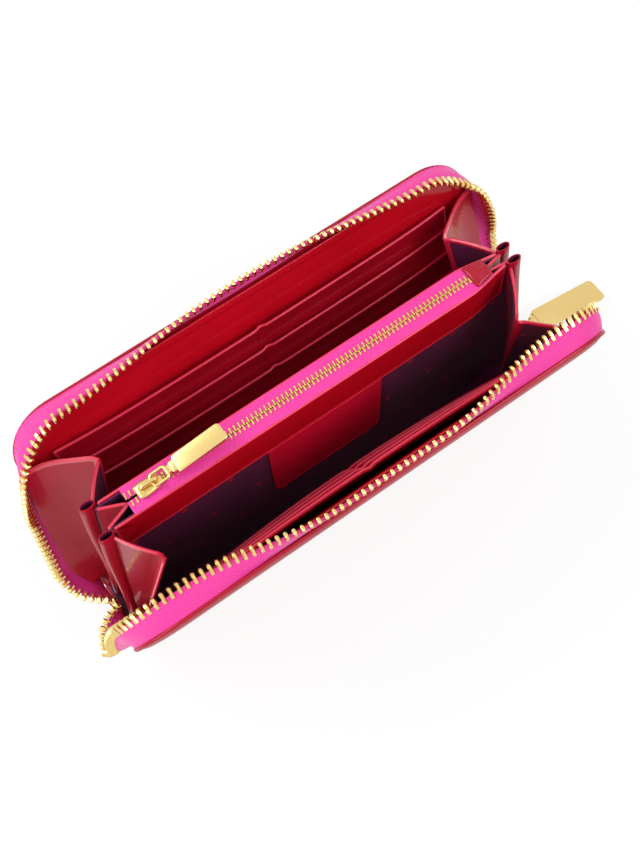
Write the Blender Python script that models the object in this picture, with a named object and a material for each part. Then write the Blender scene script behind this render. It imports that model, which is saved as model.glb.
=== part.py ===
"""Zip around wallet standing open on its spine, built as separate sewn and metal pieces.

Frame: origin under the middle of the spine, X along the spine, +Y towards the rear
cover, +Z up. Units are metres. The covers stand open at their resting lean.
"""
import math

import bmesh
import bpy
from mathutils import Vector

MM = 0.001
DEG = math.pi / 180.0

# Driving sizes of the case.
COVER_LENGTH = 195.0 * MM
COVER_HEIGHT = 100.0 * MM
COVER_CORNER_RADIUS = 20.0 * MM
COVER_LEAN = 18.5 * DEG
HINGE_HALF_SPACING = 12.5 * MM
HINGE_HEIGHT = 0.6 * MM
LEATHER = 1.2 * MM
LINING = 0.7 * MM
BOARD = 0.7 * MM
CLEARANCE = 0.3 * MM
COVER_FOOT = 0.5 * MM
PADDING_INSET = 6.0 * MM
PADDING = 3.0 * MM
ARC_STEPS = 6

# Depths measured inwards from the inner face of a cover's leather.
BOARD_DEPTH = CLEARANCE
FACING_DEPTH = BOARD_DEPTH + BOARD + CLEARANCE
POCKET_DEPTH = FACING_DEPTH + LINING + CLEARANCE
BOARD_INSET = 5.0 * MM
FACING_INSET = 2.5 * MM
FACING_FOOT = 3.0 * MM

# Card pockets, sewn like shingles on each facing.
POCKET_TOPS = (82.5 * MM, 72.0 * MM, 61.0 * MM, 50.0 * MM)
POCKET_FOOT = 9.0 * MM
POCKET_INSET = 12.5 * MM
POCKET_LEATHER = 0.5 * MM
POCKET_OVERLAP = 2.0 * MM
POCKET_PROUD = 0.85 * MM

# Gussets at the two ends.
GUSSET_LEATHER = 0.7 * MM
GUSSET_INSET = 7.5 * MM
GUSSET_DEPTH = 4.6 * MM
GUSSET_TOP = 83.0 * MM
GUSSET_FOOT = 12.0 * MM
GUSSET_FOOT_WIDTH = 1.0 * MM
GUSSET_EDGE_GAP = 0.4 * MM
OUTER_PANEL_WIDTH = 21.2 * MM
OUTER_PANEL_RISE = 2.0 * MM
OUTER_PANEL_ANGLE = 39.6 * DEG
INNER_PANEL_WIDTH = 16.0 * MM
INNER_PANEL_ANGLE = 49.3 * DEG
INNER_PANEL_TOP = 86.0 * MM
FLANGE_WIDTH = 6.0 * MM
FLANGE_THICKNESS = 1.6 * MM

# Coin pocket in the middle.
COIN_WALL = 0.7 * MM
COIN_HALF_DEPTH = 4.2 * MM
COIN_WALL_TOP = 90.5 * MM
RIDGE_FOOT_INSET = 4.5 * MM
RIDGE_TOP_INSET = 14.5 * MM
RIDGE_FOOT_X = COVER_LENGTH / 2 - RIDGE_FOOT_INSET
RIDGE_TOP_X = COVER_LENGTH / 2 - RIDGE_TOP_INSET
RIDGE_FOOT_Z = 4.0 * MM
RIDGE_TOP_Z = COIN_WALL_TOP + 1.5 * MM
RIDGE_RADIUS = 1.1 * MM
RIDGE_Y = COIN_HALF_DEPTH + COIN_WALL + CLEARANCE + RIDGE_RADIUS
INNER_PANEL_GAP = RIDGE_RADIUS + CLEARANCE
COIN_BAND_HEIGHT = 18.0 * MM
COIN_BAND_THICKNESS = 0.45 * MM
PATCH_LENGTH = 49.0 * MM
PATCH_HEIGHT = 40.0 * MM
PATCH_CENTRE_X = 1.0 * MM
PATCH_CORNER = 3.0 * MM
PANEL_CORNER = 1.0 * MM
COIN_FOLD_REACH = 10.0 * MM
COIN_FOLD_FOOT_REACH = 3.0 * MM
COIN_FOLD_DROP = 1.0 * MM

# Zips: tooth rows are drawn as one ribbed strip each.
TAPE = 0.6 * MM
TAPE_INSET = 0.6 * MM
TAPE_ROOT_DEPTH = 0.65 * MM
TAPE_WIDTH = 7.4 * MM
TAPE_WIDTH_MIDDLE = 4.0 * MM
TAPE_LEAN = 84.0 * DEG
TAPE_LEAN_MIDDLE = 18.0 * DEG
TAPE_CORNER_FLAT = 0.2
TAPE_END_FLAT = 1.15
TAPE_END_SPAN = 26.0 * MM
TAPE_FOOT_SPAN = 14.0 * MM
TAPE_FOOT = 9.0 * MM
TAPE_SLIDER_FOOT = 24.0 * MM
TAPE_STEP = 3.5 * MM
TOOTH_PITCH = 2.8 * MM
TOOTH_LENGTH = 2.2 * MM
TOOTH_THICKNESS = 2.0 * MM
COIN_TAPE = 0.5 * MM
COIN_TAPE_RISE = 0.9 * MM
COIN_TAPE_Z = COIN_WALL_TOP + COIN_TAPE_RISE
COIN_TAPE_INNER_Y = 2.3 * MM
COIN_TOOTH_PITCH = 1.75 * MM
COIN_TOOTH_LENGTH = 1.65 * MM
COIN_TOOTH_THICKNESS = 1.5 * MM
COIN_TOOTH_GAP = 0.35 * MM
COIN_TEETH_START_INSET = 27.5 * MM
COIN_TEETH_END_INSET = 30.5 * MM
COIN_TEETH_START_X = COIN_TEETH_START_INSET - COVER_LENGTH / 2
COIN_TEETH_END_X = COVER_LENGTH / 2 - COIN_TEETH_END_INSET
COIN_TAB_LENGTH = 8.0 * MM
COIN_TAB_CORNER = 0.8 * MM
COIN_SLIDER_INSET = 5.5 * MM
COIN_SLIDER_X = COIN_TEETH_START_X + COIN_SLIDER_INSET
CORD_SHARE = 0.55

# Sliders, links and pulls, at the coin zip's size; the main zip's are larger.
SLIDER_LENGTH = 10.0 * MM
SLIDER_WIDTH = 6.4 * MM
SLIDER_PLATE = 0.8 * MM
SLIDER_WEB = 0.4 * MM
SLIDER_GAP = 0.35 * MM
BAIL_SPAN = 6.4 * MM
BAIL_RISE = 1.9 * MM
WIRE = 0.45 * MM
LINK_LENGTH = 6.0 * MM
LINK_WIDTH = 4.4 * MM
LINK_OFFSET = 1.2 * MM
PULL_EYE = 3.0 * MM
COIN_PULL_LENGTH = 21.0 * MM
COIN_PULL_WIDTH = 6.5 * MM
COIN_PULL_THICKNESS = 1.4 * MM
COIN_LINK_ANGLE = 8.0 * DEG
MAIN_ZIP_SCALE = 1.4
MAIN_SLIDER_Z = 15.0 * MM
MAIN_PULL_LENGTH = 39.0 * MM
MAIN_PULL_WIDTH = 10.5 * MM
MAIN_PULL_THICKNESS = 2.0 * MM
MAIN_LINK_ANGLE = 76.0 * DEG
END_TAB_WIDTH = 12.0 * MM
END_TAB_HEIGHT = 8.3 * MM
END_TAB_THICKNESS = 1.0 * MM
END_TAB_CORNER = 2.0 * MM

REAR, FRONT = 1, -1
LEFT, RIGHT = -1, 1
SIDE_NAMES = {REAR: "rear", FRONT: "front"}
END_NAMES = {LEFT: "left", RIGHT: "right"}


def clear_scene():
    """Remove every object, so that the script can be run again."""
    for item in list(bpy.data.objects):
        bpy.data.objects.remove(item, do_unlink=True)


def make_material(name, colour, roughness, metallic=0.0):
    """Make a Principled material with one colour."""
    material = bpy.data.materials.new(name)
    material.use_nodes = True
    shader = material.node_tree.nodes["Principled BSDF"]
    shader.inputs["Base Color"].default_value = (*colour, 1.0)
    shader.inputs["Roughness"].default_value = roughness
    shader.inputs["Metallic"].default_value = metallic
    return material


clear_scene()
wallet = bpy.data.collections.new("zip_around_wallet")
bpy.context.scene.collection.children.link(wallet)
cutters = bpy.data.collections.new("wallet_cutters")
bpy.context.scene.collection.children.link(cutters)

PATENT = make_material("red_patent", (0.45, 0.005, 0.02), 0.12)
SMOOTH_LEATHER = make_material("red_leather", (0.50, 0.004, 0.02), 0.35)
TAPE_CLOTH = make_material("pink_tape", (0.95, 0.01, 0.38), 0.75)
GOLD = make_material("gold_metal", (0.90, 0.62, 0.20), 0.22, 1.0)
SATIN = make_material("purple_lining", (0.16, 0.02, 0.14), 0.45)
STIFFENER = make_material("board", (0.55, 0.48, 0.40), 0.85)


def finish_object(item, material, parent=None, location=(0, 0, 0), rotation=(0, 0, 0)):
    """Link an object into the wallet and place it under its parent."""
    wallet.objects.link(item)
    item.data.materials.append(material)
    item.parent = parent
    item.location = location
    item.rotation_euler = rotation
    return item


def pivot(name, parent=None, location=(0, 0, 0), rotation=(0, 0, 0)):
    """Add an empty that carries pieces and marks a joint."""
    empty = bpy.data.objects.new(name, None)
    wallet.objects.link(empty)
    empty.parent = parent
    empty.location = location
    empty.rotation_euler = rotation
    return empty


def plate(name, outline, thickness, material, **place):
    """Make a flat piece from an outline in its own XY plane."""
    curve = bpy.data.curves.new(name, "CURVE")
    curve.dimensions = "2D"
    curve.fill_mode = "BOTH"
    curve.extrude = thickness / 2
    spline = curve.splines.new("POLY")
    spline.points.add(len(outline) - 1)
    for point, (x, y) in zip(spline.points, outline):
        point.co = (x, y, 0, 1)
    spline.use_cyclic_u = True
    return finish_object(bpy.data.objects.new(name, curve), material, **place)


def tube(name, points, radius, material, closed=False, **place):
    """Make a round wire along points."""
    curve = bpy.data.curves.new(name, "CURVE")
    curve.dimensions = "3D"
    curve.bevel_depth = radius
    curve.bevel_resolution = 1
    curve.use_fill_caps = True
    spline = curve.splines.new("POLY")
    spline.points.add(len(points) - 1)
    for point, place_at in zip(spline.points, points):
        point.co = (*place_at, 1)
    spline.use_cyclic_u = closed
    return finish_object(bpy.data.objects.new(name, curve), material, **place)


def box(name, size, material, **place):
    """Make a block centred on its own origin."""
    mesh = bpy.data.meshes.new(name)
    shape = bmesh.new()
    bmesh.ops.create_cube(shape, size=1.0)
    bmesh.ops.scale(shape, vec=Vector(size), verts=shape.verts)
    shape.to_mesh(mesh)
    shape.free()
    return finish_object(bpy.data.objects.new(name, mesh), material, **place)


def as_mesh(item):
    """Replace a curve object by a welded mesh object of the same name and place."""
    bpy.context.view_layer.update()
    evaluated = item.evaluated_get(bpy.context.evaluated_depsgraph_get())
    mesh = bpy.data.meshes.new_from_object(evaluated)
    shape = bmesh.new()
    shape.from_mesh(mesh)
    bmesh.ops.remove_doubles(shape, verts=shape.verts, dist=0.01 * MM)
    bmesh.ops.recalc_face_normals(shape, faces=shape.faces)
    shape.to_mesh(mesh)
    shape.free()
    name, parent, matrix = item.name, item.parent, item.matrix_local.copy()
    bpy.data.objects.remove(item, do_unlink=True)
    solid = bpy.data.objects.new(name, mesh)
    wallet.objects.link(solid)
    solid.parent = parent
    solid.matrix_local = matrix
    return solid


def combine(target, tool, operation):
    """Join a helper to a piece, or cut it out, and keep the helper as a guide."""
    wallet.objects.unlink(tool)
    cutters.objects.link(tool)
    tool.hide_render = True
    tool.display_type = "WIRE"
    modifier = target.modifiers.new(tool.name, "BOOLEAN")
    modifier.operation = operation
    modifier.object = tool
    modifier.solver = "EXACT"


def loft(name, rings, material, **place):
    """Skin rings of equal length into one closed body."""
    count = len(rings[0])
    shape = bmesh.new()
    layers = [[shape.verts.new(point) for point in ring] for ring in rings]
    for first, second in zip(layers, layers[1:]):
        for k in range(count):
            n = (k + 1) % count
            shape.faces.new((first[k], first[n], second[n], second[k]))
    shape.faces.new(layers[0][::-1])
    shape.faces.new(layers[-1])
    bmesh.ops.triangulate(shape, faces=shape.faces)
    bmesh.ops.recalc_face_normals(shape, faces=shape.faces)
    mesh = bpy.data.meshes.new(name)
    shape.to_mesh(mesh)
    shape.free()
    return finish_object(bpy.data.objects.new(name, mesh), material, **place)


def arc(centre, radius, start, end, steps=ARC_STEPS):
    """Points along an arc, both ends included."""
    points = []
    for k in range(steps + 1):
        angle = start + (end - start) * k / steps
        points.append((centre[0] + radius * math.cos(angle), centre[1] + radius * math.sin(angle)))
    return points


def arched_outline(half_length, foot, top, radius):
    """A panel outline with square feet and two round top corners."""
    right = arc((half_length - radius, top - radius), radius, 0, math.pi / 2)
    left = arc((radius - half_length, top - radius), radius, math.pi / 2, math.pi)
    return [(half_length, foot), *right, *left, (-half_length, foot)]


def rounded_outline(x0, x1, y0, y1, radius, steps=3):
    """A rectangle with four round corners."""
    quarter = math.pi / 2
    corners = ((x1 - radius, y0 + radius, -quarter), (x1 - radius, y1 - radius, 0.0),
               (x0 + radius, y1 - radius, quarter), (x0 + radius, y0 + radius, 2 * quarter))
    points = []
    for x, y, start in corners:
        points += arc((x, y), radius, start, start + quarter, steps)
    return points


def end_flatness(foot, drop):
    """How flat the tape lies at an end, from its distance to the foot and to the corner."""
    rise = math.sin(math.pi / 2 * min(foot / TAPE_FOOT_SPAN, 1))
    return rise * (TAPE_CORNER_FLAT + (TAPE_END_FLAT - TAPE_CORNER_FLAT) * min(drop / TAPE_END_SPAN, 1))


def edge_run(inset, foot_start, foot_end, step):
    """Walk up one end, over the top and down the other end of a cover.

    Each station is a point on the edge, the outward direction there, and two shares: how
    flat the tape lies, and how narrow it is, which is 1 at the middle of the top.
    """
    half = COVER_LENGTH / 2 - inset
    top = COVER_HEIGHT - inset
    radius = COVER_CORNER_RADIUS - inset
    quarter = math.pi / 2
    lengths = (top - radius - foot_start, radius * quarter, 2 * (half - radius), radius * quarter,
               top - radius - foot_end)
    total = sum(lengths)
    count = max(2, round(total / step))
    stations = []
    for k in range(count + 1):
        along = total * k / count
        part = 0
        while part < 4 and along > lengths[part]:
            along -= lengths[part]
            part += 1
        flat, narrow = 0.0, 0.0
        if part == 0:
            point, out = (-half, foot_start + along), (-1, 0)
            flat = end_flatness(along, lengths[0] - along)
        elif part == 1:
            turn = math.pi - along / radius
            out = (math.cos(turn), math.sin(turn))
            point = (radius - half + radius * out[0], top - radius + radius * out[1])
            flat = TAPE_CORNER_FLAT * (1 - along / lengths[1])
        elif part == 2:
            point, out = (radius - half + along, top), (0, 1)
            flat = math.sin(math.pi * along / lengths[2]) ** 2
            narrow = flat
        elif part == 3:
            turn = quarter - along / radius
            out = (math.cos(turn), math.sin(turn))
            point = (half - radius + radius * out[0], top - radius + radius * out[1])
            flat = TAPE_CORNER_FLAT * along / lengths[3]
        else:
            point, out = (half, top - radius - along), (1, 0)
            flat = end_flatness(lengths[4] - along, along)
        stations.append((point, out, flat, narrow))
    return stations


def tape_frame(station):
    """Root, leaning direction, thickness direction and free width of the tape at a station."""
    (u, v), (out_u, out_v), flat, narrow = station
    lean = TAPE_LEAN + (TAPE_LEAN_MIDDLE - TAPE_LEAN) * flat
    width = TAPE_WIDTH + (TAPE_WIDTH_MIDDLE - TAPE_WIDTH) * narrow
    root = Vector((u, v, TAPE_ROOT_DEPTH))
    along = Vector((out_u * math.cos(lean), out_v * math.cos(lean), math.sin(lean)))
    across = Vector((out_u * math.sin(lean), out_v * math.sin(lean), -math.cos(lean)))
    return root, along, across, width


def strip_ring(root, along, across, start, end, thickness):
    """Four corners of a strip's section."""
    half = across * (thickness / 2)
    return (root + along * start - half, root + along * end - half,
            root + along * end + half, root + along * start + half)


def build_spine():
    """The outer leather under the wallet and the lining on it."""
    half = COVER_LENGTH / 2
    width = HINGE_HALF_SPACING - CLEARANCE
    box("spine_leather", (COVER_LENGTH, 2 * width, LEATHER), PATENT, location=(0, 0, LEATHER / 2))
    lining = width - FACING_DEPTH
    box("spine_lining", (2 * (half - RIDGE_RADIUS), 2 * lining, LINING), SATIN,
        location=(0, 0, LEATHER + CLEARANCE + LINING / 2))
    tab_x = half - TAPE_INSET + TOOTH_THICKNESS / 2 + CLEARANCE + END_TAB_THICKNESS / 2
    for end, word in END_NAMES.items():
        outline = rounded_outline(-END_TAB_WIDTH / 2, END_TAB_WIDTH / 2, CLEARANCE, END_TAB_HEIGHT,
                                  END_TAB_CORNER)
        plate(f"{word}_zip_end_tab", outline, END_TAB_THICKNESS, SMOOTH_LEATHER,
              location=(end * tab_x, 0, 0),
              rotation=(math.pi / 2, 0, math.pi / 2))


def build_card_pockets(side, hinge):
    """Four overlapping card pockets on a facing, each tucked under the one below."""
    word = SIDE_NAMES[side]
    half = COVER_LENGTH / 2 - POCKET_INSET
    feet = [top - POCKET_OVERLAP for top in POCKET_TOPS[1:]] + [POCKET_FOOT]
    for number, (top, foot) in enumerate(zip(POCKET_TOPS, feet), start=1):
        height = top - foot
        outline = rounded_outline(-half, half, -height / 2, height / 2, PANEL_CORNER)
        tilt = math.asin(POCKET_PROUD / height)
        depth = POCKET_DEPTH + POCKET_LEATHER / 2 + POCKET_PROUD / 2
        plate(f"{word}_card_pocket_{number}", outline, POCKET_LEATHER, SMOOTH_LEATHER, parent=hinge,
              location=(0, (top + foot) / 2, depth), rotation=(tilt, 0, 0))


def build_zip_side(side, hinge):
    """The tape and its row of teeth along three sides of a cover."""
    word = SIDE_NAMES[side]
    feet = (TAPE_FOOT, TAPE_SLIDER_FOOT) if side == REAR else (TAPE_SLIDER_FOOT, TAPE_FOOT)
    rings = []
    for station in edge_run(TAPE_INSET, *feet, TAPE_STEP):
        root, along, across, width = tape_frame(station)
        rings.append(strip_ring(root, along, across, 0, width, TAPE))
    loft(f"{word}_zip_tape", rings, TAPE_CLOTH, parent=hinge)
    rings = []
    for k, station in enumerate(edge_run(TAPE_INSET, *feet, TOOTH_PITCH / 2)):
        root, along, across, width = tape_frame(station)
        start = width + CLEARANCE
        share = 1.0 if k % 2 else CORD_SHARE
        rings.append(strip_ring(root, along, across, start, start + TOOTH_LENGTH * share,
                                TOOTH_THICKNESS * share))
    loft(f"{word}_zip_teeth", rings, GOLD, parent=hinge)


def build_cover(side):
    """One cover with its board, facing, pockets, gusset flanges and zip half."""
    word = SIDE_NAMES[side]
    turn = 0.0 if side == REAR else math.pi
    hinge = pivot(f"{word}_cover_hinge", location=(0, side * HINGE_HALF_SPACING, HINGE_HEIGHT),
                  rotation=(math.pi / 2 - COVER_LEAN, 0, turn))
    half = COVER_LENGTH / 2
    rings = []
    for inset, depth in ((0.0, 0.0), (0.0, LEATHER), (PADDING_INSET, LEATHER + PADDING)):
        outline = arched_outline(half - inset, COVER_FOOT + inset, COVER_HEIGHT - inset, COVER_CORNER_RADIUS - inset)
        rings.append([Vector((u, v, -depth)) for u, v in outline])
    loft(f"{word}_cover_leather", rings, PATENT, parent=hinge)
    plate(f"{word}_cover_board",
          arched_outline(half - BOARD_INSET, FACING_FOOT, COVER_HEIGHT - BOARD_INSET,
                         COVER_CORNER_RADIUS - BOARD_INSET),
          BOARD, STIFFENER, parent=hinge, location=(0, 0, BOARD_DEPTH + BOARD / 2))
    plate(f"{word}_cover_facing",
          arched_outline(half - FACING_INSET, FACING_FOOT, COVER_HEIGHT - FACING_INSET,
                         COVER_CORNER_RADIUS - FACING_INSET),
          LINING, SMOOTH_LEATHER, parent=hinge, location=(0, 0, FACING_DEPTH + LINING / 2))
    build_card_pockets(side, hinge)
    build_zip_side(side, hinge)
    for end, end_word in END_NAMES.items():
        build_outer_gusset(side, end, hinge, f"{word}_{end_word}")


def build_outer_gusset(side, end, hinge, word):
    """The sewn flange and the gusset panel that swings on it, at one end of a cover."""
    local_end = end * side
    hinge_u = local_end * (COVER_LENGTH / 2 - GUSSET_INSET)
    flange = rounded_outline(-FLANGE_WIDTH / 2, FLANGE_WIDTH / 2, GUSSET_FOOT, GUSSET_TOP, PANEL_CORNER)
    depth = GUSSET_DEPTH - GUSSET_LEATHER / 2 - CLEARANCE - FLANGE_THICKNESS / 2
    plate(f"{word}_gusset_flange", flange, FLANGE_THICKNESS, PATENT, parent=hinge,
          location=(hinge_u + local_end * FLANGE_WIDTH / 4, 0, depth))
    axis = pivot(f"{word}_outer_gusset_axis", parent=hinge, location=(hinge_u, 0, GUSSET_DEPTH),
                 rotation=(0, local_end * OUTER_PANEL_ANGLE, 0))
    inward = -local_end
    outline = [(inward * GUSSET_EDGE_GAP, GUSSET_FOOT),
               (inward * (GUSSET_EDGE_GAP + GUSSET_FOOT_WIDTH), GUSSET_FOOT),
               (inward * OUTER_PANEL_WIDTH, GUSSET_TOP + OUTER_PANEL_RISE),
               (inward * GUSSET_EDGE_GAP, GUSSET_TOP)]
    plate(f"{word}_outer_gusset", outline, GUSSET_LEATHER, PATENT, parent=axis)


def ridge_point(end, y, z):
    """A point on the leaning ridge line at a height."""
    share = (z - RIDGE_FOOT_Z) / (RIDGE_TOP_Z - RIDGE_FOOT_Z)
    return Vector((end * (RIDGE_FOOT_X + (RIDGE_TOP_X - RIDGE_FOOT_X) * share), y, z))


def build_inner_gusset(side, end):
    """The ridge on a coin pocket wall and the gusset panel that swings on it."""
    word = f"{SIDE_NAMES[side]}_{END_NAMES[end]}"
    ridge_y = side * RIDGE_Y
    tube(f"{word}_gusset_ridge",
         [ridge_point(end, ridge_y, RIDGE_FOOT_Z), ridge_point(end, ridge_y, RIDGE_TOP_Z)],
         RIDGE_RADIUS, PATENT)
    tilt = math.atan2(RIDGE_FOOT_X - RIDGE_TOP_X, RIDGE_TOP_Z - RIDGE_FOOT_Z)
    frame = pivot(f"{word}_ridge_frame", location=ridge_point(end, ridge_y, RIDGE_FOOT_Z),
                  rotation=(math.pi / 2, -end * tilt, 0))
    axis = pivot(f"{word}_inner_gusset_axis", parent=frame,
                 rotation=(0, -end * side * INNER_PANEL_ANGLE, 0))
    inward = -end
    foot = GUSSET_FOOT - RIDGE_FOOT_Z
    outline = [(inward * INNER_PANEL_GAP, foot),
               (inward * (INNER_PANEL_GAP + GUSSET_FOOT_WIDTH), foot),
               (inward * INNER_PANEL_WIDTH, INNER_PANEL_TOP - OUTER_PANEL_RISE),
               (inward * INNER_PANEL_GAP, INNER_PANEL_TOP)]
    plate(f"{word}_inner_gusset", outline, GUSSET_LEATHER, PATENT, parent=axis)


def build_coin_gusset(end):
    """The fixed V fold that closes one end of the coin pocket."""
    half = COIN_HALF_DEPTH - CLEARANCE
    rings = []
    for y, share in ((half, 0.0), (0.0, 1.0), (-half, 0.0)):
        edges = []
        for z, reach, drop in ((GUSSET_FOOT, COIN_FOLD_FOOT_REACH, COIN_FOLD_DROP),
                               (COIN_WALL_TOP, COIN_FOLD_REACH, -COIN_FOLD_DROP)):
            skin = GUSSET_LEATHER * math.hypot(half, reach) / half
            outside = ridge_point(end, y, z + drop * share) - Vector((end * reach * share, 0, 0))
            edges.append((outside, outside - Vector((end * skin, 0, 0))))
        (low_outside, low_inside), (high_outside, high_inside) = edges
        rings.append((low_outside, low_inside, high_inside, high_outside))
    loft(f"{END_NAMES[end]}_coin_gusset", rings, SATIN)


def build_coin_pocket():
    """Walls, top band, patch and end folds of the middle pocket."""
    foot = LEATHER + 2 * CLEARANCE + LINING
    half_foot = ridge_point(RIGHT, 0, foot).x
    half_top = ridge_point(RIGHT, 0, COIN_WALL_TOP).x
    half_band = half_top - RIDGE_RADIUS - CLEARANCE
    outline = [(-half_foot, foot), (half_foot, foot), (half_top, COIN_WALL_TOP), (-half_top, COIN_WALL_TOP)]
    upright = (math.pi / 2, 0, 0)
    for side, word in SIDE_NAMES.items():
        plate(f"coin_pocket_{word}_wall", outline, COIN_WALL, SATIN,
              location=(0, side * (COIN_HALF_DEPTH + COIN_WALL / 2), 0), rotation=upright)
        band_y = side * (COIN_HALF_DEPTH + COIN_WALL + CLEARANCE + COIN_BAND_THICKNESS / 2)
        band = rounded_outline(-half_band, half_band, COIN_WALL_TOP - COIN_BAND_HEIGHT, COIN_WALL_TOP,
                               PANEL_CORNER)
        plate(f"coin_pocket_{word}_band", band, COIN_BAND_THICKNESS, SMOOTH_LEATHER,
              location=(0, band_y, 0), rotation=upright)
    top = COIN_WALL_TOP - COIN_BAND_HEIGHT - CLEARANCE
    patch = rounded_outline(-PATCH_LENGTH / 2, PATCH_LENGTH / 2, top - PATCH_HEIGHT, top, PATCH_CORNER)
    plate("coin_pocket_patch", patch, COIN_BAND_THICKNESS, SMOOTH_LEATHER,
          location=(PATCH_CENTRE_X, band_y, 0), rotation=upright)
    for end in END_NAMES:
        build_coin_gusset(end)
        for side in SIDE_NAMES:
            build_inner_gusset(side, end)


def build_coin_zip():
    """Tapes, teeth rows and leather end tab across the mouth of the coin pocket."""
    outer = COIN_HALF_DEPTH + COIN_WALL
    tab_end = COIN_TEETH_END_X + CLEARANCE + COIN_TAB_LENGTH
    for side, word in SIDE_NAMES.items():
        length = tab_end - COIN_TEETH_START_X
        box(f"coin_zip_{word}_tape", (length, outer - COIN_TAPE_INNER_Y, COIN_TAPE), TAPE_CLOTH,
            location=((tab_end + COIN_TEETH_START_X) / 2, side * (outer + COIN_TAPE_INNER_Y) / 2, COIN_TAPE_Z))
        rings = []
        count = round((COIN_TEETH_END_X - COIN_TEETH_START_X) / COIN_TOOTH_PITCH)
        root_y = COIN_TOOTH_GAP + COIN_TOOTH_LENGTH
        for k in range(2 * count + 1):
            x = COIN_TEETH_START_X + COIN_TOOTH_PITCH * k / 2
            big = k % 2 == (0 if side == REAR else 1)
            share = 1.0 if big else CORD_SHARE
            rings.append(strip_ring(Vector((x, side * root_y, COIN_TAPE_Z)), Vector((0, -side, 0)),
                                    Vector((0, 0, 1)), 0, COIN_TOOTH_LENGTH * share,
                                    COIN_TOOTH_THICKNESS * share))
        loft(f"coin_zip_{word}_teeth", rings, GOLD)
    tab_z = COIN_TAPE_Z + COIN_TAPE / 2 + CLEARANCE + COIN_BAND_THICKNESS / 2
    tab = rounded_outline(-COIN_TAB_LENGTH / 2, COIN_TAB_LENGTH / 2, -outer, outer, COIN_TAB_CORNER)
    plate("coin_zip_end_tab", tab, COIN_BAND_THICKNESS, SMOOTH_LEATHER,
          location=(tab_end - COIN_TAB_LENGTH / 2, 0, tab_z))


def build_slider_set(word, frame, size, thickness, link_angle, pull_size):
    """A slider, its link and its pull.

    In the frame, X runs along the teeth, Z points away from the tape, and the link
    is lifted from X by link_angle.
    """
    pull_length, pull_width, pull_thickness = pull_size
    plate_size = SLIDER_PLATE * size
    inner = thickness / 2 + SLIDER_GAP
    length, width = SLIDER_LENGTH * size, SLIDER_WIDTH * size
    outline = rounded_outline(-length / 2, length / 2, -width / 2, width / 2, 2.0 * MM * size)
    plate(f"{word}_slider", outline, plate_size, GOLD, parent=frame, location=(0, 0, inner + plate_size / 2))
    plate(f"{word}_slider_back", outline, plate_size, GOLD, parent=frame,
          location=(0, 0, -inner - plate_size / 2))
    web_height = 2 * inner + plate_size
    box(f"{word}_slider_web", (length * 0.8, SLIDER_WEB, web_height), GOLD, parent=frame)
    top = inner + plate_size
    reach, rise = BAIL_SPAN * size / 2, BAIL_RISE * size
    sunk = top - plate_size / 2
    tube(f"{word}_slider_bail",
         [(-reach, 0, sunk), (-reach, 0, top + rise * 0.5), (-reach * 0.7, 0, top + rise),
          (reach * 0.7, 0, top + rise), (reach, 0, top + rise * 0.5), (reach, 0, sunk)],
         WIRE * size, GOLD, parent=frame)
    names = [f"{word}_slider{part}" for part in ("", "_back", "_web", "_bail")]
    solids = [as_mesh(bpy.data.objects[name]) for name in names]
    for helper in solids[1:]:
        combine(solids[0], helper, "UNION")
    solids[0].data.materials.append(GOLD)

    wire = WIRE * size
    axis_x = LINK_OFFSET * size
    axis_z = top + rise / 2 - wire * 0.3
    link_axis = pivot(f"{word}_link_axis", parent=frame, location=(axis_x, 0, axis_z),
                      rotation=(0, -link_angle, 0))
    link_length, half_width = LINK_LENGTH * size, LINK_WIDTH * size / 2
    tube(f"{word}_link",
         [(0, -half_width, 0), (link_length, -half_width, 0), (link_length, half_width, 0), (0, half_width, 0)],
         wire, GOLD, closed=True, parent=link_axis)
    pull_axis = pivot(f"{word}_pull_axis", parent=link_axis, location=(link_length, 0, 0))
    neck = half_width - wire - CLEARANCE
    eye = PULL_EYE * size
    shoulder = eye * 0.5
    blade = pull_width / 2
    corner = 1.2 * MM
    outline = [(-eye / 2, -neck), (shoulder, -neck), (shoulder + blade - neck, -blade),
               *arc((shoulder + pull_length - corner, corner - blade), corner, -math.pi / 2, 0, 3),
               *arc((shoulder + pull_length - corner, blade - corner), corner, 0, math.pi / 2, 3),
               (shoulder + blade - neck, blade), (shoulder, neck), (-eye / 2, neck)]
    plate(f"{word}_pull", outline, pull_thickness * size, GOLD, parent=pull_axis)
    pull = as_mesh(bpy.data.objects[f"{word}_pull"])
    pull.data.materials.append(GOLD)
    bore = box(f"{word}_pull_bore", (2 * (wire + CLEARANCE / 2), pull_width, 2 * (wire + CLEARANCE / 2)), GOLD,
               parent=pull_axis)
    combine(pull, bore, "DIFFERENCE")


def build_sliders():
    """The coin zip's slider near its left end and the main slider at the right foot."""
    coin_frame = pivot("coin_slider_frame", location=(COIN_SLIDER_X, 0, COIN_TAPE_Z))
    build_slider_set("coin_zip", coin_frame, 1.0, COIN_TOOTH_THICKNESS, COIN_LINK_ANGLE,
                     (COIN_PULL_LENGTH, COIN_PULL_WIDTH, COIN_PULL_THICKNESS))
    main_frame = pivot("main_slider_frame",
                       location=(COVER_LENGTH / 2 - TAPE_INSET, 0, MAIN_SLIDER_Z + HINGE_HEIGHT),
                       rotation=(0, math.pi / 2, 0))
    build_slider_set("main_zip", main_frame, MAIN_ZIP_SCALE, TOOTH_THICKNESS, MAIN_LINK_ANGLE,
                     (MAIN_PULL_LENGTH, MAIN_PULL_WIDTH, MAIN_PULL_THICKNESS))


build_spine()
for cover_side in SIDE_NAMES:
    build_cover(cover_side)
build_coin_pocket()
build_coin_zip()
build_sliders()
bpy.context.view_layer.update()
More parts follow.
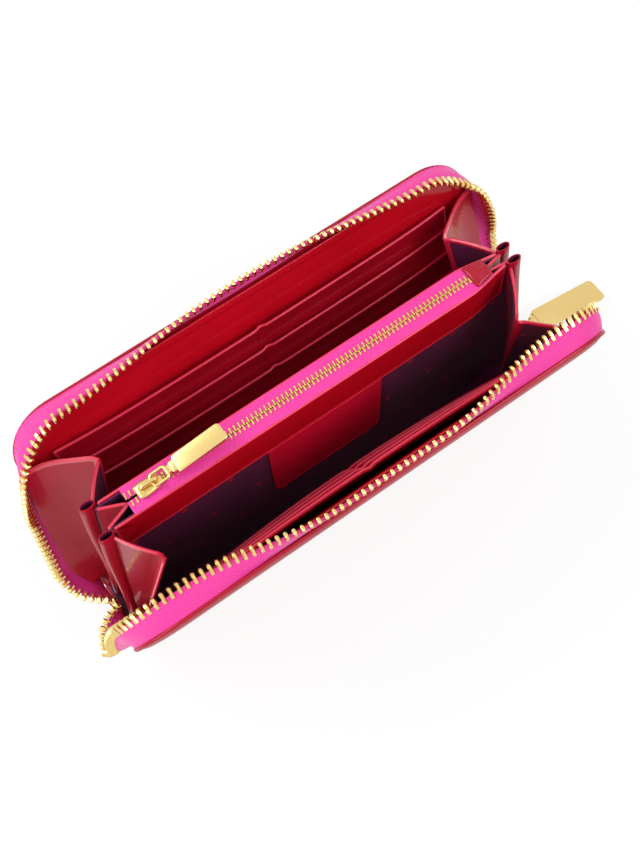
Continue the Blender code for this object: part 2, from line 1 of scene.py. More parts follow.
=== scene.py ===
"""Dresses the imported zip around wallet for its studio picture.

Every length in this file is in millimetres until a mesh is made. The wallet stands open
on its spine: X runs along the spine, Y towards the rear cover and Z up.
"""
from __future__ import annotations

import logging
import math
from dataclasses import dataclass, field
from enum import Enum
from typing import Callable, Optional, Sequence

import bmesh
import bpy
from mathutils import Matrix, Vector

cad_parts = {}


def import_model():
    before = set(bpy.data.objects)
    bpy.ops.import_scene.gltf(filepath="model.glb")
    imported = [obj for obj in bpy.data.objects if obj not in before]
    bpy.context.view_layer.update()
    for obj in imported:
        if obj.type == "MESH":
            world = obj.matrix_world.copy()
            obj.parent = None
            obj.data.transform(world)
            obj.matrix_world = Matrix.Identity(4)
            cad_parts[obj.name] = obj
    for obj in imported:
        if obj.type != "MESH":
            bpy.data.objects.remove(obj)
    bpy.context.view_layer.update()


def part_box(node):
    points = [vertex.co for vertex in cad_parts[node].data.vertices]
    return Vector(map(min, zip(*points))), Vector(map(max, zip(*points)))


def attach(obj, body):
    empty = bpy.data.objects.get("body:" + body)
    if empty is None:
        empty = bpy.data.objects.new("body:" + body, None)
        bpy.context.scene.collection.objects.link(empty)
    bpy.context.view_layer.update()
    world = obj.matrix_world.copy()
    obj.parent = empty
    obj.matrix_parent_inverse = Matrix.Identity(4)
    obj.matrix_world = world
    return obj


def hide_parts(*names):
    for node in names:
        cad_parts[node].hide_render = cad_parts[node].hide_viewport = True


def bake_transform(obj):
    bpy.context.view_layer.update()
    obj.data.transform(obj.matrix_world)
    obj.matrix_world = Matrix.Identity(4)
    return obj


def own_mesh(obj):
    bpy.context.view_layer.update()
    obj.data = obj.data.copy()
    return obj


LOG = logging.getLogger("wallet")
MM = 0.001
DEG = math.pi / 180.0
RIGHT_ANGLE = math.pi / 2
MERGE_DISTANCE = 0.002 * MM
CORE = "case_core"
COVER_HALF = 97.5
COVER_HEIGHT = 100.0
COVER_CORNER = 20.0

Colour = tuple[float, float, float]
Flat = tuple[float, float]
Place = Callable[[float, float, float], Vector]
Socket = bpy.types.NodeSocket
Node = bpy.types.Node
Item = bpy.types.Object
Mesh = bpy.types.Mesh
Material = bpy.types.Material


class Named(Enum):
    """A choice whose name is part of the CAD nodes' names."""

    @property
    def word(self) -> str:
        """The name used in the CAD nodes."""
        return self.name.lower()


class Side(Named):
    """The two covers, by the sign of Y."""

    REAR = 1
    FRONT = -1

    @property
    def body(self) -> str:
        """The cover's CAD body."""
        return f"{self.word}_cover"


class End(Named):
    """The two ends of the spine, by the sign of X."""

    LEFT = -1
    RIGHT = 1


class Slot(Enum):
    """Names of the material slots."""

    PATENT = "red_patent"
    LEATHER = "red_leather"
    TAPE = "pink_tape"
    METAL = "gold_metal"
    LINING = "purple_lining"


def by_side(rear: float, front: float) -> dict[Side, float]:
    """A dataclass field with its own value for each cover."""
    return field(default_factory=lambda: {Side.REAR: rear, Side.FRONT: front})


def show(name: str, data: bpy.types.ID) -> Item:
    """Put a new object with some data into the scene."""
    item = bpy.data.objects.new(name, data)
    bpy.context.scene.collection.objects.link(item)
    return item


# Shader groups and finishes.


class NodeSheet:
    """A node tree with short calls for adding and joining nodes."""

    def __init__(self, tree: bpy.types.NodeTree) -> None:
        """Keep the tree that is drawn on."""
        self.tree = tree

    def add(self, kind: str, **settings: object) -> Node:
        """Add a node.

        Args:
            kind: Blender's node type.
            **settings: Node properties, by name.

        Returns:
            The new node.
        """
        node = self.tree.nodes.new(kind)
        for key, value in settings.items():
            setattr(node, key, value)
        return node

    def join(self, source: Socket, target: Socket) -> None:
        """Link two sockets."""
        self.tree.links.new(source, target)

    def feed(self, value: object, target: Socket) -> None:
        """Join a socket to a target, or set the target to a plain value."""
        if isinstance(value, Socket):
            self.join(value, target)
        else:
            target.default_value = value

    def find(self, kind: str) -> Node:
        """Return the tree's first node of a type."""
        return next(node for node in self.tree.nodes if node.type == kind)

    def wire(self, kind: str, inputs: dict[object, object], **settings: object) -> Socket:
        """Add a node and feed it.

        Args:
            kind: Blender's node type.
            inputs: Sockets or plain values, by the name or the number of the input.
            **settings: Node properties, by name.

        Returns:
            The node's first output.
        """
        node = self.add(kind, **settings)
        for key, value in inputs.items():
            self.feed(value, node.inputs[key])
        return node.outputs[0]

    def math(self, operation: str, first: object, second: object = 0.0) -> Socket:
        """Add a Math node, fed by sockets or numbers, and return its value socket."""
        return self.wire("ShaderNodeMath", {0: first, 1: second}, operation=operation)

    def noise(self, vector: Socket, scale: object, detail: float) -> Socket:
        """Add a Noise Texture and return its value socket."""
        return self.wire("ShaderNodeTexNoise", {"Vector": vector, "Scale": scale, "Detail": detail})

    def mix(self, share: Socket, low: object, high: object) -> Socket:
        """Mix two colours.

        Args:
            share: The factor socket.
            low: A colour or a socket at factor 0.
            high: A colour or a socket at factor 1.

        Returns:
            The mixed colour socket.
        """
        node = self.add("ShaderNodeMix", data_type="RGBA")
        self.join(share, node.inputs[0])
        for index, value in ((6, low), (7, high)):
            plain = not isinstance(value, Socket)
            self.feed((*value, 1.0) if plain else value, node.inputs[index])
        return node.outputs[2]

    def remap(self, value: Socket, low: float, high: float,
              easing: str = "LINEAR") -> Socket:
        """Map a range of values onto 0 to 1 and return the result's socket."""
        return self.wire("ShaderNodeMapRange", {"Value": value, "From Min": low, "From Max": high},
                         interpolation_type=easing)

    def looked_at(self) -> Socket:
        """A mask of what the camera sees, straight or in a mirror."""
        path = self.add("ShaderNodeLightPath")
        mirrored = self.math("MAXIMUM", path.outputs["Is Glossy Ray"], path.outputs["Is Transmission Ray"])
        return self.math("MAXIMUM", path.outputs["Is Camera Ray"], mirrored)


def new_group(name: str, inputs: dict[str, float],
              outputs: Sequence[str]) -> tuple[NodeSheet, Node, Node]:
    """Start a shader group that reads a vector and puts out values.

    Args:
        name: The group's name.
        inputs: Number inputs and their defaults; a Vector input is added before them.
        outputs: Names of the value outputs.

    Returns:
        The group's sheet, its input node and its output node.
    """
    tree = bpy.data.node_groups.new(name, "ShaderNodeTree")
    tree.interface.new_socket("Vector", in_out="INPUT", socket_type="NodeSocketVector")
    for key, number in inputs.items():
        socket = tree.interface.new_socket(key, in_out="INPUT", socket_type="NodeSocketFloat")
        socket.default_value = number
    for key in outputs:
        tree.interface.new_socket(key, in_out="OUTPUT", socket_type="NodeSocketFloat")
    sheet = NodeSheet(tree)
    return sheet, sheet.add("NodeGroupInput"), sheet.add("NodeGroupOutput")


class Effects(Enum):
    """The shared shader groups."""

    GRAIN = "hide_grain"
    WEAVE = "twill_weave"
    DOTS = "printed_dots"
    HANDLING = "handling_wear"


BLOTCH_SCALE = 35.0
YARN_SHARE = 0.35
TWILL_PEAK = 1.2
HAZE_SCALE = 45.0
HAZE_SHARE = 0.75
SCUFF_SCALE = 900.0


def build_grain_group() -> None:
    """Fine hide pores and slow waves: a height and a mottled shade."""
    sizes = {"Pore Scale": 1500.0, "Wave Scale": 60.0, "Pore Share": 0.3}
    sheet, start, end = new_group(Effects.GRAIN.value, sizes, ("Height", "Mottle"))
    place = start.outputs["Vector"]
    pores = sheet.wire("ShaderNodeTexVoronoi", {"Vector": place, "Scale": start.outputs["Pore Scale"]},
                       feature="SMOOTH_F1")
    wave = sheet.noise(place, start.outputs["Wave Scale"], 2.0)
    pore_height = sheet.math("MULTIPLY", pores, start.outputs["Pore Share"])
    sheet.join(sheet.math("ADD", pore_height, wave), end.inputs["Height"])
    blotch = sheet.noise(place, BLOTCH_SCALE, 4.0)
    sheet.join(sheet.remap(blotch, 0.3, 0.7), end.inputs["Mottle"])


def build_weave_group() -> None:
    """A diagonal twill in the cloth's own flat coordinates: a height and a yarn shade."""
    sizes = {"Rib Count": 1.0, "Yarn Count": 1.0}
    sheet, start, end = new_group(Effects.WEAVE.value, sizes, ("Height", "Shade"))
    split = sheet.add("ShaderNodeSeparateXYZ")
    sheet.join(start.outputs["Vector"], split.inputs[0])
    waves = []
    for way, count in (("ADD", "Rib Count"), ("SUBTRACT", "Yarn Count")):
        slant = sheet.math(way, split.outputs[0], split.outputs[1])
        waves.append(sheet.math("SINE", sheet.math("MULTIPLY", slant, start.outputs[count])))
    both = sheet.math("ADD", waves[0], sheet.math("MULTIPLY", waves[1], YARN_SHARE))
    sheet.join(both, end.inputs["Height"])
    sheet.join(sheet.remap(both, -TWILL_PEAK, TWILL_PEAK), end.inputs["Shade"])


def build_dots_group() -> None:
    """A staggered sprinkle of plain round dots over X and Z: a mask."""
    sheet, start, end = new_group(Effects.DOTS.value, {"Spacing": 0.016, "Radius": 0.09}, ("Mask",))
    split = sheet.add("ShaderNodeSeparateXYZ")
    sheet.join(start.outputs["Vector"], split.inputs[0])
    across = sheet.math("DIVIDE", split.outputs[0], start.outputs["Spacing"])
    upward = sheet.math("DIVIDE", split.outputs[2], start.outputs["Spacing"])
    stagger = sheet.math("FLOORED_MODULO", sheet.math("FLOOR", upward), 2.0)
    shifted = sheet.math("ADD", across, sheet.math("MULTIPLY", stagger, 0.5))
    squares = []
    for place in (shifted, upward):
        offset = sheet.math("SUBTRACT", sheet.math("FRACT", place), 0.5)
        squares.append(sheet.math("MULTIPLY", offset, offset))
    distance = sheet.math("SQRT", sheet.math("ADD", *squares))
    share = sheet.math("DIVIDE", distance, start.outputs["Radius"])
    sheet.join(sheet.remap(share, 1.1, 0.9, "SMOOTHSTEP"), end.inputs["Mask"])


def build_handling_group() -> None:
    """Finger haze and fine scuffs: a change of roughness."""
    sheet, start, end = new_group(Effects.HANDLING.value, {"Base": 0.3, "Spread": 0.1}, ("Roughness",))
    haze = sheet.noise(start.outputs["Vector"], HAZE_SCALE, 5.0)
    scuffs = sheet.noise(start.outputs["Vector"], SCUFF_SCALE, 2.0)
    both = sheet.math("ADD", sheet.math("MULTIPLY", haze, HAZE_SHARE),
                      sheet.math("MULTIPLY", scuffs, 1.0 - HAZE_SHARE))
    centred = sheet.math("MULTIPLY", sheet.math("SUBTRACT", both, 0.5), start.outputs["Spread"])
    sheet.join(sheet.math("ADD", centred, start.outputs["Base"]), end.inputs["Roughness"])


class Canvas(NodeSheet):
    """A new material with its shader, ready for a finish to paint on."""

    def __init__(self, name: str) -> None:
        """Make the material and its Principled shader."""
        self.material = bpy.data.materials.new(name)
        self.material.use_nodes = True
        super().__init__(self.material.node_tree)
        self.shader = self.find("BSDF_PRINCIPLED")
        self.place = self.add("ShaderNodeTexCoord").outputs["Object"]

    def set(self, **values: object) -> None:
        """Set constant shader values, with spaces in their names written as underscores."""
        for key, value in values.items():
            self.shader.inputs[key.replace("_", " ")].default_value = value

    def effect(self, which: Effects, vector: Optional[Socket] = None,
               **values: float) -> Node:
        """Place a shared group.

        Args:
            which: The group.
            vector: The coordinates it reads, Object coordinates if not given.
            **values: Its number inputs, with underscores for spaces.

        Returns:
            The group node.
        """
        node = self.add("ShaderNodeGroup", node_tree=bpy.data.node_groups[which.value])
        self.join(vector or self.place, node.inputs["Vector"])
        for key, number in values.items():
            node.inputs[key.replace("_", " ")].default_value = number
        return node

    def bump(self, height: Socket, depth: float, strength: float = 1.0) -> None:
        """Drive the shader's normal from a height in millimetres of depth."""
        relief = {"Strength": strength, "Distance": depth * MM, "Height": height}
        self.join(self.wire("ShaderNodeBump", relief), self.shader.inputs["Normal"])

    def roughness(self, base: float, spread: float) -> None:
        """Vary the shader's roughness by handling."""
        node = self.effect(Effects.HANDLING, Base=base, Spread=spread)
        self.join(node.outputs["Roughness"], self.shader.inputs["Roughness"])


@dataclass(frozen=True)
class Grain:
    """A surface's fine relief: pores and waves per metre, the pores' share and the depth in millimetres."""

    pore_scale: float
    pore_share: float
    wave_scale: float
    depth: float


@dataclass(frozen=True)
class GrainedFinish:
    """A plain surface with a grain, such as the stiffening board between leather and facing."""

    name: str
    colour: Colour
    deep: Colour
    grain: Grain
    roughness: float
    spread: float

    def paint(self) -> Material:
        """Build the material."""
        canvas = Canvas(self.name)
        relief = canvas.effect(Effects.GRAIN, Pore_Scale=self.grain.pore_scale,
                               Pore_Share=self.grain.pore_share, Wave_Scale=self.grain.wave_scale)
        ground = canvas.mix(relief.outputs["Mottle"], self.deep, self.colour)
        canvas.join(self.printed(canvas, ground), canvas.shader.inputs["Base Color"])
        canvas.roughness(self.roughness, self.spread)
        canvas.bump(relief.outputs["Height"], self.grain.depth)
        self.polish(canvas)
        return canvas.material

    def printed(self, canvas: Canvas, ground: Socket) -> Socket:
        """The colour with what is printed on it, which is nothing here."""
        return ground

    def polish(self, canvas: Canvas) -> None:
        """Set the shader values that only this finish has, which are none here."""


@dataclass(frozen=True)
class HideFinish(GrainedFinish):
    """Dyed leather, from soft smooth hide to lacquered patent; the pocket, patch and edge copies also carry
    painted shade and painted light in their colour.
    """

    coat: float
    coat_roughness: float
    specular: float

    def polish(self, canvas: Canvas) -> None:
        """Lay on the coat."""
        canvas.set(Coat_Weight=self.coat, Coat_Roughness=self.coat_roughness,
                   Specular_IOR_Level=self.specular)


@dataclass(frozen=True)
class SatinFinish(GrainedFinish):
    """Dark satin lining with a sprinkle of plain dots."""

    dot_colour: Colour
    dot_spacing: float
    dot_radius: float

    def printed(self, canvas: Canvas, ground: Socket) -> Socket:
        """The satin's colour with its dots."""
        dots = canvas.effect(Effects.DOTS, Spacing=self.dot_spacing, Radius=self.dot_radius)
        return canvas.mix(dots.outputs["Mask"], ground, self.dot_colour)

    def polish(self, canvas: Canvas) -> None:
        """Give the cloth its soft sheen."""
        canvas.set(Sheen_Weight=0.06, Sheen_Roughness=0.35, Specular_IOR_Level=0.3)


@dataclass(frozen=True)
class MetalFinish(GrainedFinish):
    """Polished plate on zip metal."""

    def polish(self, canvas: Canvas) -> None:
        """Make it metal."""
        canvas.set(Metallic=1.0)


@dataclass(frozen=True)
class ClothFinish:
    """Woven zip tape, read from the strip's own flat coordinates."""

    name: str
    colour: Colour
    deep: Colour
    rib_count: float
    yarn_count: float

    def paint(self) -> Material:
        """Build the material."""
        canvas = Canvas(self.name)
        flat = canvas.add("ShaderNodeUVMap", uv_map="weave").outputs[0]
        weave = canvas.effect(Effects.WEAVE, flat, Rib_Count=self.rib_count, Yarn_Count=self.yarn_count)
        shade = canvas.mix(weave.outputs["Shade"], self.deep, self.colour)
        canvas.join(shade, canvas.shader.inputs["Base Color"])
        canvas.roughness(0.62, 0.15)
        canvas.bump(weave.outputs["Height"], 0.05, 0.7)
        canvas.set(Sheen_Weight=0.25, Sheen_Roughness=0.4)
        return canvas.material


class Finish(Enum):
    """Every finish on the wallet."""

    PATENT = HideFinish("patent_leather", (0.37, 0.003, 0.021), (0.31, 0.002, 0.015),
                        Grain(1400.0, 0.04, 70.0, 0.12), roughness=0.42, spread=0.12,
                        coat=0.30, coat_roughness=0.04, specular=0.15)
    HIDE = HideFinish("smooth_leather", (0.50, 0.0025, 0.013), (0.42, 0.0018, 0.010),
                      Grain(1500.0, 0.25, 120.0, 0.09), roughness=0.40, spread=0.12,
                      coat=0.55, coat_roughness=0.12, specular=0.12)
    # Pocket leather is the facing's hide painted darker: painted shade for the pocket faces that sit in
    # shade.
    POCKET = HideFinish("pocket_leather", (0.36, 0.0025, 0.014), (0.29, 0.0018, 0.010),
                        Grain(1500.0, 0.20, 120.0, 0.07), roughness=0.42, spread=0.12,
                        coat=0.8, coat_roughness=0.14, specular=0.12)
    # The patch is the hide's red painted brighter: painted light standing in for fill light on the front
    # wall's shaded face.
    PATCH = HideFinish("patch_leather", (0.68, 0.007, 0.040), (0.60, 0.005, 0.030),
                       Grain(1500.0, 0.25, 120.0, 0.09), roughness=0.40, spread=0.12,
                       coat=0.55, coat_roughness=0.12, specular=0.12)
    # Turned edges, cords and hems are painted in a brighter, pinker red than the hide: a painted highlight.
    EDGE = HideFinish("turned_edge", (0.66, 0.014, 0.060), (0.58, 0.010, 0.045),
                      Grain(1500.0, 0.20, 120.0, 0.05), roughness=0.38, spread=0.12,
                      coat=0.9, coat_roughness=0.26, specular=0.3)
    THREAD = HideFinish("red_thread", (0.46, 0.008, 0.020), (0.34, 0.004, 0.012),
                        Grain(4000.0, 0.5, 900.0, 0.05), roughness=0.55, spread=0.12,
                        coat=0.0, coat_roughness=0.3, specular=0.4)
    CLOTH = ClothFinish("zip_cloth", (0.85, 0.036, 0.35), (0.61, 0.015, 0.22), 7.0, 11.0)
    SATIN = SatinFinish("satin_lining", (0.12, 0.011, 0.062), (0.075, 0.007, 0.040),
                        Grain(2600.0, 0.5, 90.0, 0.08), roughness=0.36, spread=0.14,
                        dot_colour=(0.42, 0.006, 0.025), dot_spacing=0.0195, dot_radius=0.062)
    METAL = MetalFinish("zip_metal", (0.86, 0.65, 0.27), (0.76, 0.55, 0.20),
                        Grain(3200.0, 0.2, 400.0, 0.012), roughness=0.24, spread=0.12)
    BOARD = GrainedFinish("stiffening_board", (0.24, 0.22, 0.20), (0.18, 0.165, 0.15),
                          Grain(900.0, 0.6, 300.0, 0.06), roughness=0.85, spread=0.1)


class FinishShelf:
    """Paints each finish once and hands out its material."""

    def __init__(self) -> None:
        """Build the shared groups."""
        for build in (build_grain_group, build_weave_group, build_dots_group, build_handling_group):
            build()
        self.ready: dict[Finish, Material] = {}

    def material(self, finish: Finish) -> Material:
        """Return the material of a finish, painted on first use."""
        if finish not in self.ready:
            self.ready[finish] = finish.value.paint()
        return self.ready[finish]


# Mesh making.


@dataclass
class Shape:
    """Points and faces gathered for one mesh."""

    points: list[Vector] = field(default_factory=list)
    faces: list[tuple[int, ...]] = field(default_factory=list)
    slots: list[int] = field(default_factory=list)
    flat: list[Flat] = field(default_factory=list)

    def grid(self, rows: Sequence[Sequence[Vector]], slot: int = 0, wrap: bool = False,
             flat: Optional[Sequence[Sequence[Flat]]] = None) -> int:
        """Add a grid of quads.

        Args:
            rows: Rows of points, all of one length.
            slot: The material slot of the faces.
            wrap: Whether each row closes on itself.
            flat: Cloth coordinates of the points, where the finish needs them.

        Returns:
            The index of the first point.
        """
        start = len(self.points)
        width = len(rows[0])
        for number, row in enumerate(rows):
            self.points.extend(row)
            self.flat.extend(flat[number] if flat else [(0.0, 0.0)] * width)
        for i in range(len(rows) - 1):
            for j in range(width if wrap else width - 1):
                near = start + i * width
                far = near + width
                k = (j + 1) % width
                self.faces.append((near + j, near + k, far + k, far + j))
                self.slots.append(slot)
        return start

    def cap(self, start: int, count: int, slot: int = 0) -> None:
        """Close a ring of points with one face."""
        self.faces.append(tuple(range(start, start + count)))
        self.slots.append(slot)

    def loft(self, rings: Sequence[Sequence[Vector]], slot: int = 0, closed: bool = False) -> None:
        """Add a closed skin over rings, with caps at both ends unless the rings meet.

        Args:
            rings: Rings of points, all of one length.
            slot: The material slot.
            closed: Whether the last ring joins the first.
        """
        rows = [*rings, rings[0]] if closed else list(rings)
        count = len(rings[0])
        start = self.grid(rows, slot, wrap=True)
        if not closed:
            self.cap(start, count, slot)
            self.cap(start + (len(rows) - 1) * count, count, slot)

    def mesh(self, name: str, crease: float = 38.0) -> Mesh:
        """Make a merged mesh with outward faces.

        Args:
            name: The mesh's name.
            crease: Edges sharper than this, in degrees, stay hard.

        Returns:
            The mesh.
        """
        mesh = bpy.data.meshes.new(name)
        mesh.from_pydata([point * MM for point in self.points], [], self.faces)
        mesh.polygons.foreach_set("material_index", self.slots)
        layer = mesh.uv_layers.new(name="weave")
        for loop in mesh.loops:
            layer.data[loop.index].uv = self.flat[loop.vertex_index]
        work = bmesh.new()
        work.from_mesh(mesh)
        bmesh.ops.remove_doubles(work, verts=work.verts, dist=MERGE_DISTANCE)
        bmesh.ops.dissolve_degenerate(work, edges=work.edges, dist=MERGE_DISTANCE)
        bmesh.ops.recalc_face_normals(work, faces=work.faces)
        work.to_mesh(mesh)
        work.free()
        mesh.polygons.foreach_set("use_smooth", [True] * len(mesh.polygons))
        mesh.set_sharp_from_angle(angle=crease * DEG)
        return mesh


def cap_share(distance: float, radius: float) -> float:
    """The height of a round edge, from 0 on the edge to 1 at its radius."""
    reach = min(max(distance / radius, 0.0), 1.0)
    return math.sqrt(max(0.0, 1.0 - (1.0 - reach) ** 2))


def smooth_step(value: float) -> float:
    """Ease a number between 0 and 1."""
    held = min(max(value, 0.0), 1.0)
    return held * held * (3.0 - 2.0 * held)


def arc_points(centre: Flat, radius: float, start: float, end: float, steps: int) -> list[Flat]:
    """Points on an arc, angles in radians."""
    angles = [start + (end - start) * k / steps for k in range(steps + 1)]
    return [(centre[0] + radius * math.cos(a), centre[1] + radius * math.sin(a)) for a in angles]


def spread(points: Sequence[Flat], step: float) -> list[Flat]:
    """Add points along the long sides of a closed outline, at most a step apart."""
    dense: list[Flat] = []
    for index, (x0, y0) in enumerate(points):
        x1, y1 = points[(index + 1) % len(points)]
        parts = max(1, math.ceil(math.hypot(x1 - x0, y1 - y0) / step))
        dense.extend((x0 + (x1 - x0) * k / parts, y0 + (y1 - y0) * k / parts) for k in range(parts))
    return dense


def rounded_box(x0: float, x1: float, y0: float, y1: float, radii: Sequence[float],
                steps: int = 6) -> list[Flat]:
    """A rectangle with round corners, anticlockwise.

    Args:
        x0: Left side.
        x1: Right side.
        y0: Foot.
        y1: Top.
        radii: Corner radii: foot right, top right, top left, foot left.
        steps: Parts of each corner.

    Returns:
        The outline.
    """
    signs = ((x1, -1, y0, 1), (x1, -1, y1, -1), (x0, 1, y1, -1), (x0, 1, y0, 1))
    points: list[Flat] = []
    for number, ((x, sx, y, sy), radius) in enumerate(zip(signs, radii)):
        begin = (number - 1) * RIGHT_ANGLE
        centre = (x + sx * radius, y + sy * radius)
        points += arc_points(centre, radius, begin, begin + RIGHT_ANGLE, steps)
    return points


LEAST_LIFT = 0.35


def inset(points: Sequence[Flat], amount: float) -> list[Flat]:
    """Move a convex anticlockwise outline inwards along its corner bisectors."""
    moved: list[Flat] = []
    count = len(points)
    for index, (x, y) in enumerate(points):
        px, py = points[index - 1]
        nx, ny = points[(index + 1) % count]
        before = Vector((x - px, y - py)).normalized()
        after = Vector((nx - x, ny - y)).normalized()
        normal = Vector((-before.y - after.y, before.x + after.x))
        if normal.length < 1e-9:
            normal = Vector((-after.y, after.x))
        normal.normalize()
        lift = max(LEAST_LIFT, normal.dot(Vector((-after.y, after.x))))
        moved.append((x + normal.x * amount / lift, y + normal.y * amount / lift))
    return moved


ROLL_STEP = 22.5 * DEG
CORD_STEP = 15.0 * DEG


@dataclass(frozen=True)
class EdgeProfile:
    """How a panel's two faces leave its edge: pairs of inset and height, then a crown."""

    front: tuple[Flat, ...]
    back: tuple[Flat, ...]
    crown: float = 0.0

    @classmethod
    def rolled(cls, thickness: float, hem: float = 0.0, bead: float = 0.0,
               crown: float = 0.0) -> "EdgeProfile":
        """A turned edge.

        Args:
            thickness: The panel's thickness.
            hem: Width of the turned hem, none if 0.
            bead: How far the hem stands proud of the front.
            crown: How far the middle of the front bulges.

        Returns:
            The profile.
        """
        half = thickness / 2
        full = half + bead
        turn = [(half * (1 - math.cos(a * ROLL_STEP)), math.sin(a * ROLL_STEP)) for a in range(5)]
        front = [(place, lift * full) for place, lift in turn]
        if hem:
            front += [(hem * 0.6, full * 1.04), (hem * 0.85, full * 0.97), (hem, half),
                      (hem + 0.25, half * 0.8), (hem + 0.8, half)]
        back = [(place, -lift * half) for place, lift in turn]
        return cls(tuple(front), tuple(back), crown)

    @classmethod
    def corded(cls, thickness: float, cord: float) -> "EdgeProfile":
        """An edge turned over a cord, round on both faces.

        Args:
            thickness: The panel's thickness.
            cord: The cord's radius.

        Returns:
            The profile.
        """
        half = thickness / 2
        turn = [(cord * (1 - math.cos(a * CORD_STEP)), cord * math.sin(a * CORD_STEP)) for a in range(1, 8)]
        front = [(0.0, 0.0), *turn, (cord * 1.6, cord * 0.8), (cord * 1.9, half),
                 (cord * 2.3, half * 0.7), (cord * 3.2, half)]
        back = [(0.0, 0.0), *((place, -lift) for place, lift in turn), (cord * 1.7, -cord * 0.75),
                (cord * 2.4, -half)]
        return cls(tuple(front), tuple(back))


PANEL_SHARES = (0.12, 0.3, 0.55, 0.8, 1.0)
CORD_ROWS = 8


def middle_line(rim: Sequence[Flat], middle_y: float, low: float, high: float) -> list[float]:
    """Where each point of a panel's rim ends on its middle line, so that both halves meet there.

    Args:
        rim: The rim.
        middle_y: Height of the middle line.
        low: Left end of the line.
        high: Right end of the line.

    Returns:
        A place on the line for each point.
    """
    ends = [min(max(x, low), high) for x, _ in rim]
    upper = {round(end, 4) for end, (_, y) in zip(ends, rim) if y > middle_y}
    lower = {round(end, 4) for end, (_, y) in zip(ends, rim) if y <= middle_y}
    if upper == lower or high - low < 1.0:
        return ends
    widest = max(abs(a[0] - b[0]) for a, b in zip(rim, [*rim[1:], rim[0]]))
    pitch = (high - low) / max(1, int((high - low) / widest))
    return [low + round((end - low) / pitch) * pitch for end in ends]


def panel_mesh(name: str, outline: Sequence[Flat], profile: EdgeProfile, place: Place,
               back_slot: int = 0, rim_slot: int = 0, rim_rows: int = 0) -> Mesh:
    """Make a closed panel whose faces grow inwards from a rolled edge.

    Args:
        name: The mesh's name.
        outline: The convex outline, anticlockwise seen from the front.
        profile: The edge and the crown.
        place: Turns flat coordinates and a height into a point.
        back_slot: The material slot of the back.
        rim_slot: The material slot of the rim on both faces.
        rim_rows: How many of the profile's steps are rim.

    Returns:
        The mesh.
    """
    xs = [x for x, _ in outline]
    ys = [y for _, y in outline]
    middle_y = (min(ys) + max(ys)) / 2
    margin = min(max(ys) - min(ys), max(xs) - min(xs)) / 2
    low, high = min(xs) + margin, max(xs) - margin
    shape = Shape()
    for pairs, slot, crown in ((profile.front, 0, profile.crown), (profile.back, back_slot, 0.0)):
        rows = [[place(x, y, height) for x, y in inset(outline, amount)] for amount, height in pairs]
        rim = inset(outline, pairs[-1][0])
        middle_xs = middle_line(rim, middle_y, low, high)
        for share in PANEL_SHARES:
            height = pairs[-1][1] + crown * (1 - (1 - share) ** 2)
            rows.append([place(x + (end - x) * share, y + (middle_y - y) * share, height)
                         for (x, y), end in zip(rim, middle_xs)])
        if rim_rows:
            shape.grid(rows[:rim_rows + 1], rim_slot, wrap=True)
        shape.grid(rows[rim_rows:], slot, wrap=True)
    return shape.mesh(name)


LEAF_PROBE = 0.004


def leaf_mesh(name: str, middle: Callable[[float, float], Vector], across: Sequence[float],
              upward: Sequence[float], half: Callable[[float, float], float],
              hem: tuple[int, int] = (0, 0), slots: Sequence[int] = (0, 1, 2)) -> Mesh:
    """Make a closed leaf round a middle surface.

    Args:
        name: The mesh's name.
        middle: The surface, over two shares from 0 to 1.
        across: Stations of the first share.
        upward: Stations of the second share.
        half: Half the thickness at two shares.
        hem: How many columns at the far side and rows at the top the turned hem takes.
        slots: The material slots of the front, the back and the hem with the edges.

    Returns:
        The mesh.
    """
    step = LEAF_PROBE
    columns = len(across) - hem[0]
    levels = len(upward) - hem[1]
    front: list[list[Vector]] = []
    back: list[list[Vector]] = []
    for t in upward:
        front.append([])
        back.append([])
        for s in across:
            point = middle(s, t)
            run = middle(min(s + step, 1.0), t) - middle(max(s - step, 0.0), t)
            rise = middle(s, min(t + step, 1.0)) - middle(s, max(t - step, 0.0))
            normal = run.cross(rise).normalized() * half(s, t)
            front[-1].append(point + normal)
            back[-1].append(point - normal)
    shape = Shape()
    for slot, rows in zip(slots, (front, back)):
        shape.grid([row[:columns] for row in rows[:levels]], slot)
        if hem[0]:
            shape.grid([row[columns - 1:] for row in rows[:levels]], slots[2])
        if hem[1]:
            shape.grid(rows[levels - 1:], slots[2])
    for index in (0, -1):
        shape.grid([front[index], back[index]], slots[2])
        shape.grid([[row[index] for row in front], [row[index] for row in back]], slots[2])
    return shape.mesh(name)


def strip_mesh(name: str, front: Sequence[Sequence[Vector]], back: Sequence[Sequence[Vector]],
               flats: Sequence[Sequence[Flat]]) -> Mesh:
    """Make a closed strip of cloth from its two faces.

    Args:
        name: The mesh's name.
        front: Rows of points on one face.
        back: The same rows on the other face.
        flats: Cloth coordinates of the rows.

    Returns:
        The mesh.
    """
    shape = Shape()
    shape.grid(front, 0, flat=flats)
    shape.grid(back, 0, flat=flats)
    for index in (0, -1):
        shape.grid([front[index], back[index]], 0, flat=[flats[index], flats[index]])
        column = [row[index] for row in flats]
        sides = [[row[index] for row in face] for face in (front, back)]
        shape.grid(sides, 0, flat=[column, column])
    return shape.mesh(name, 60.0)


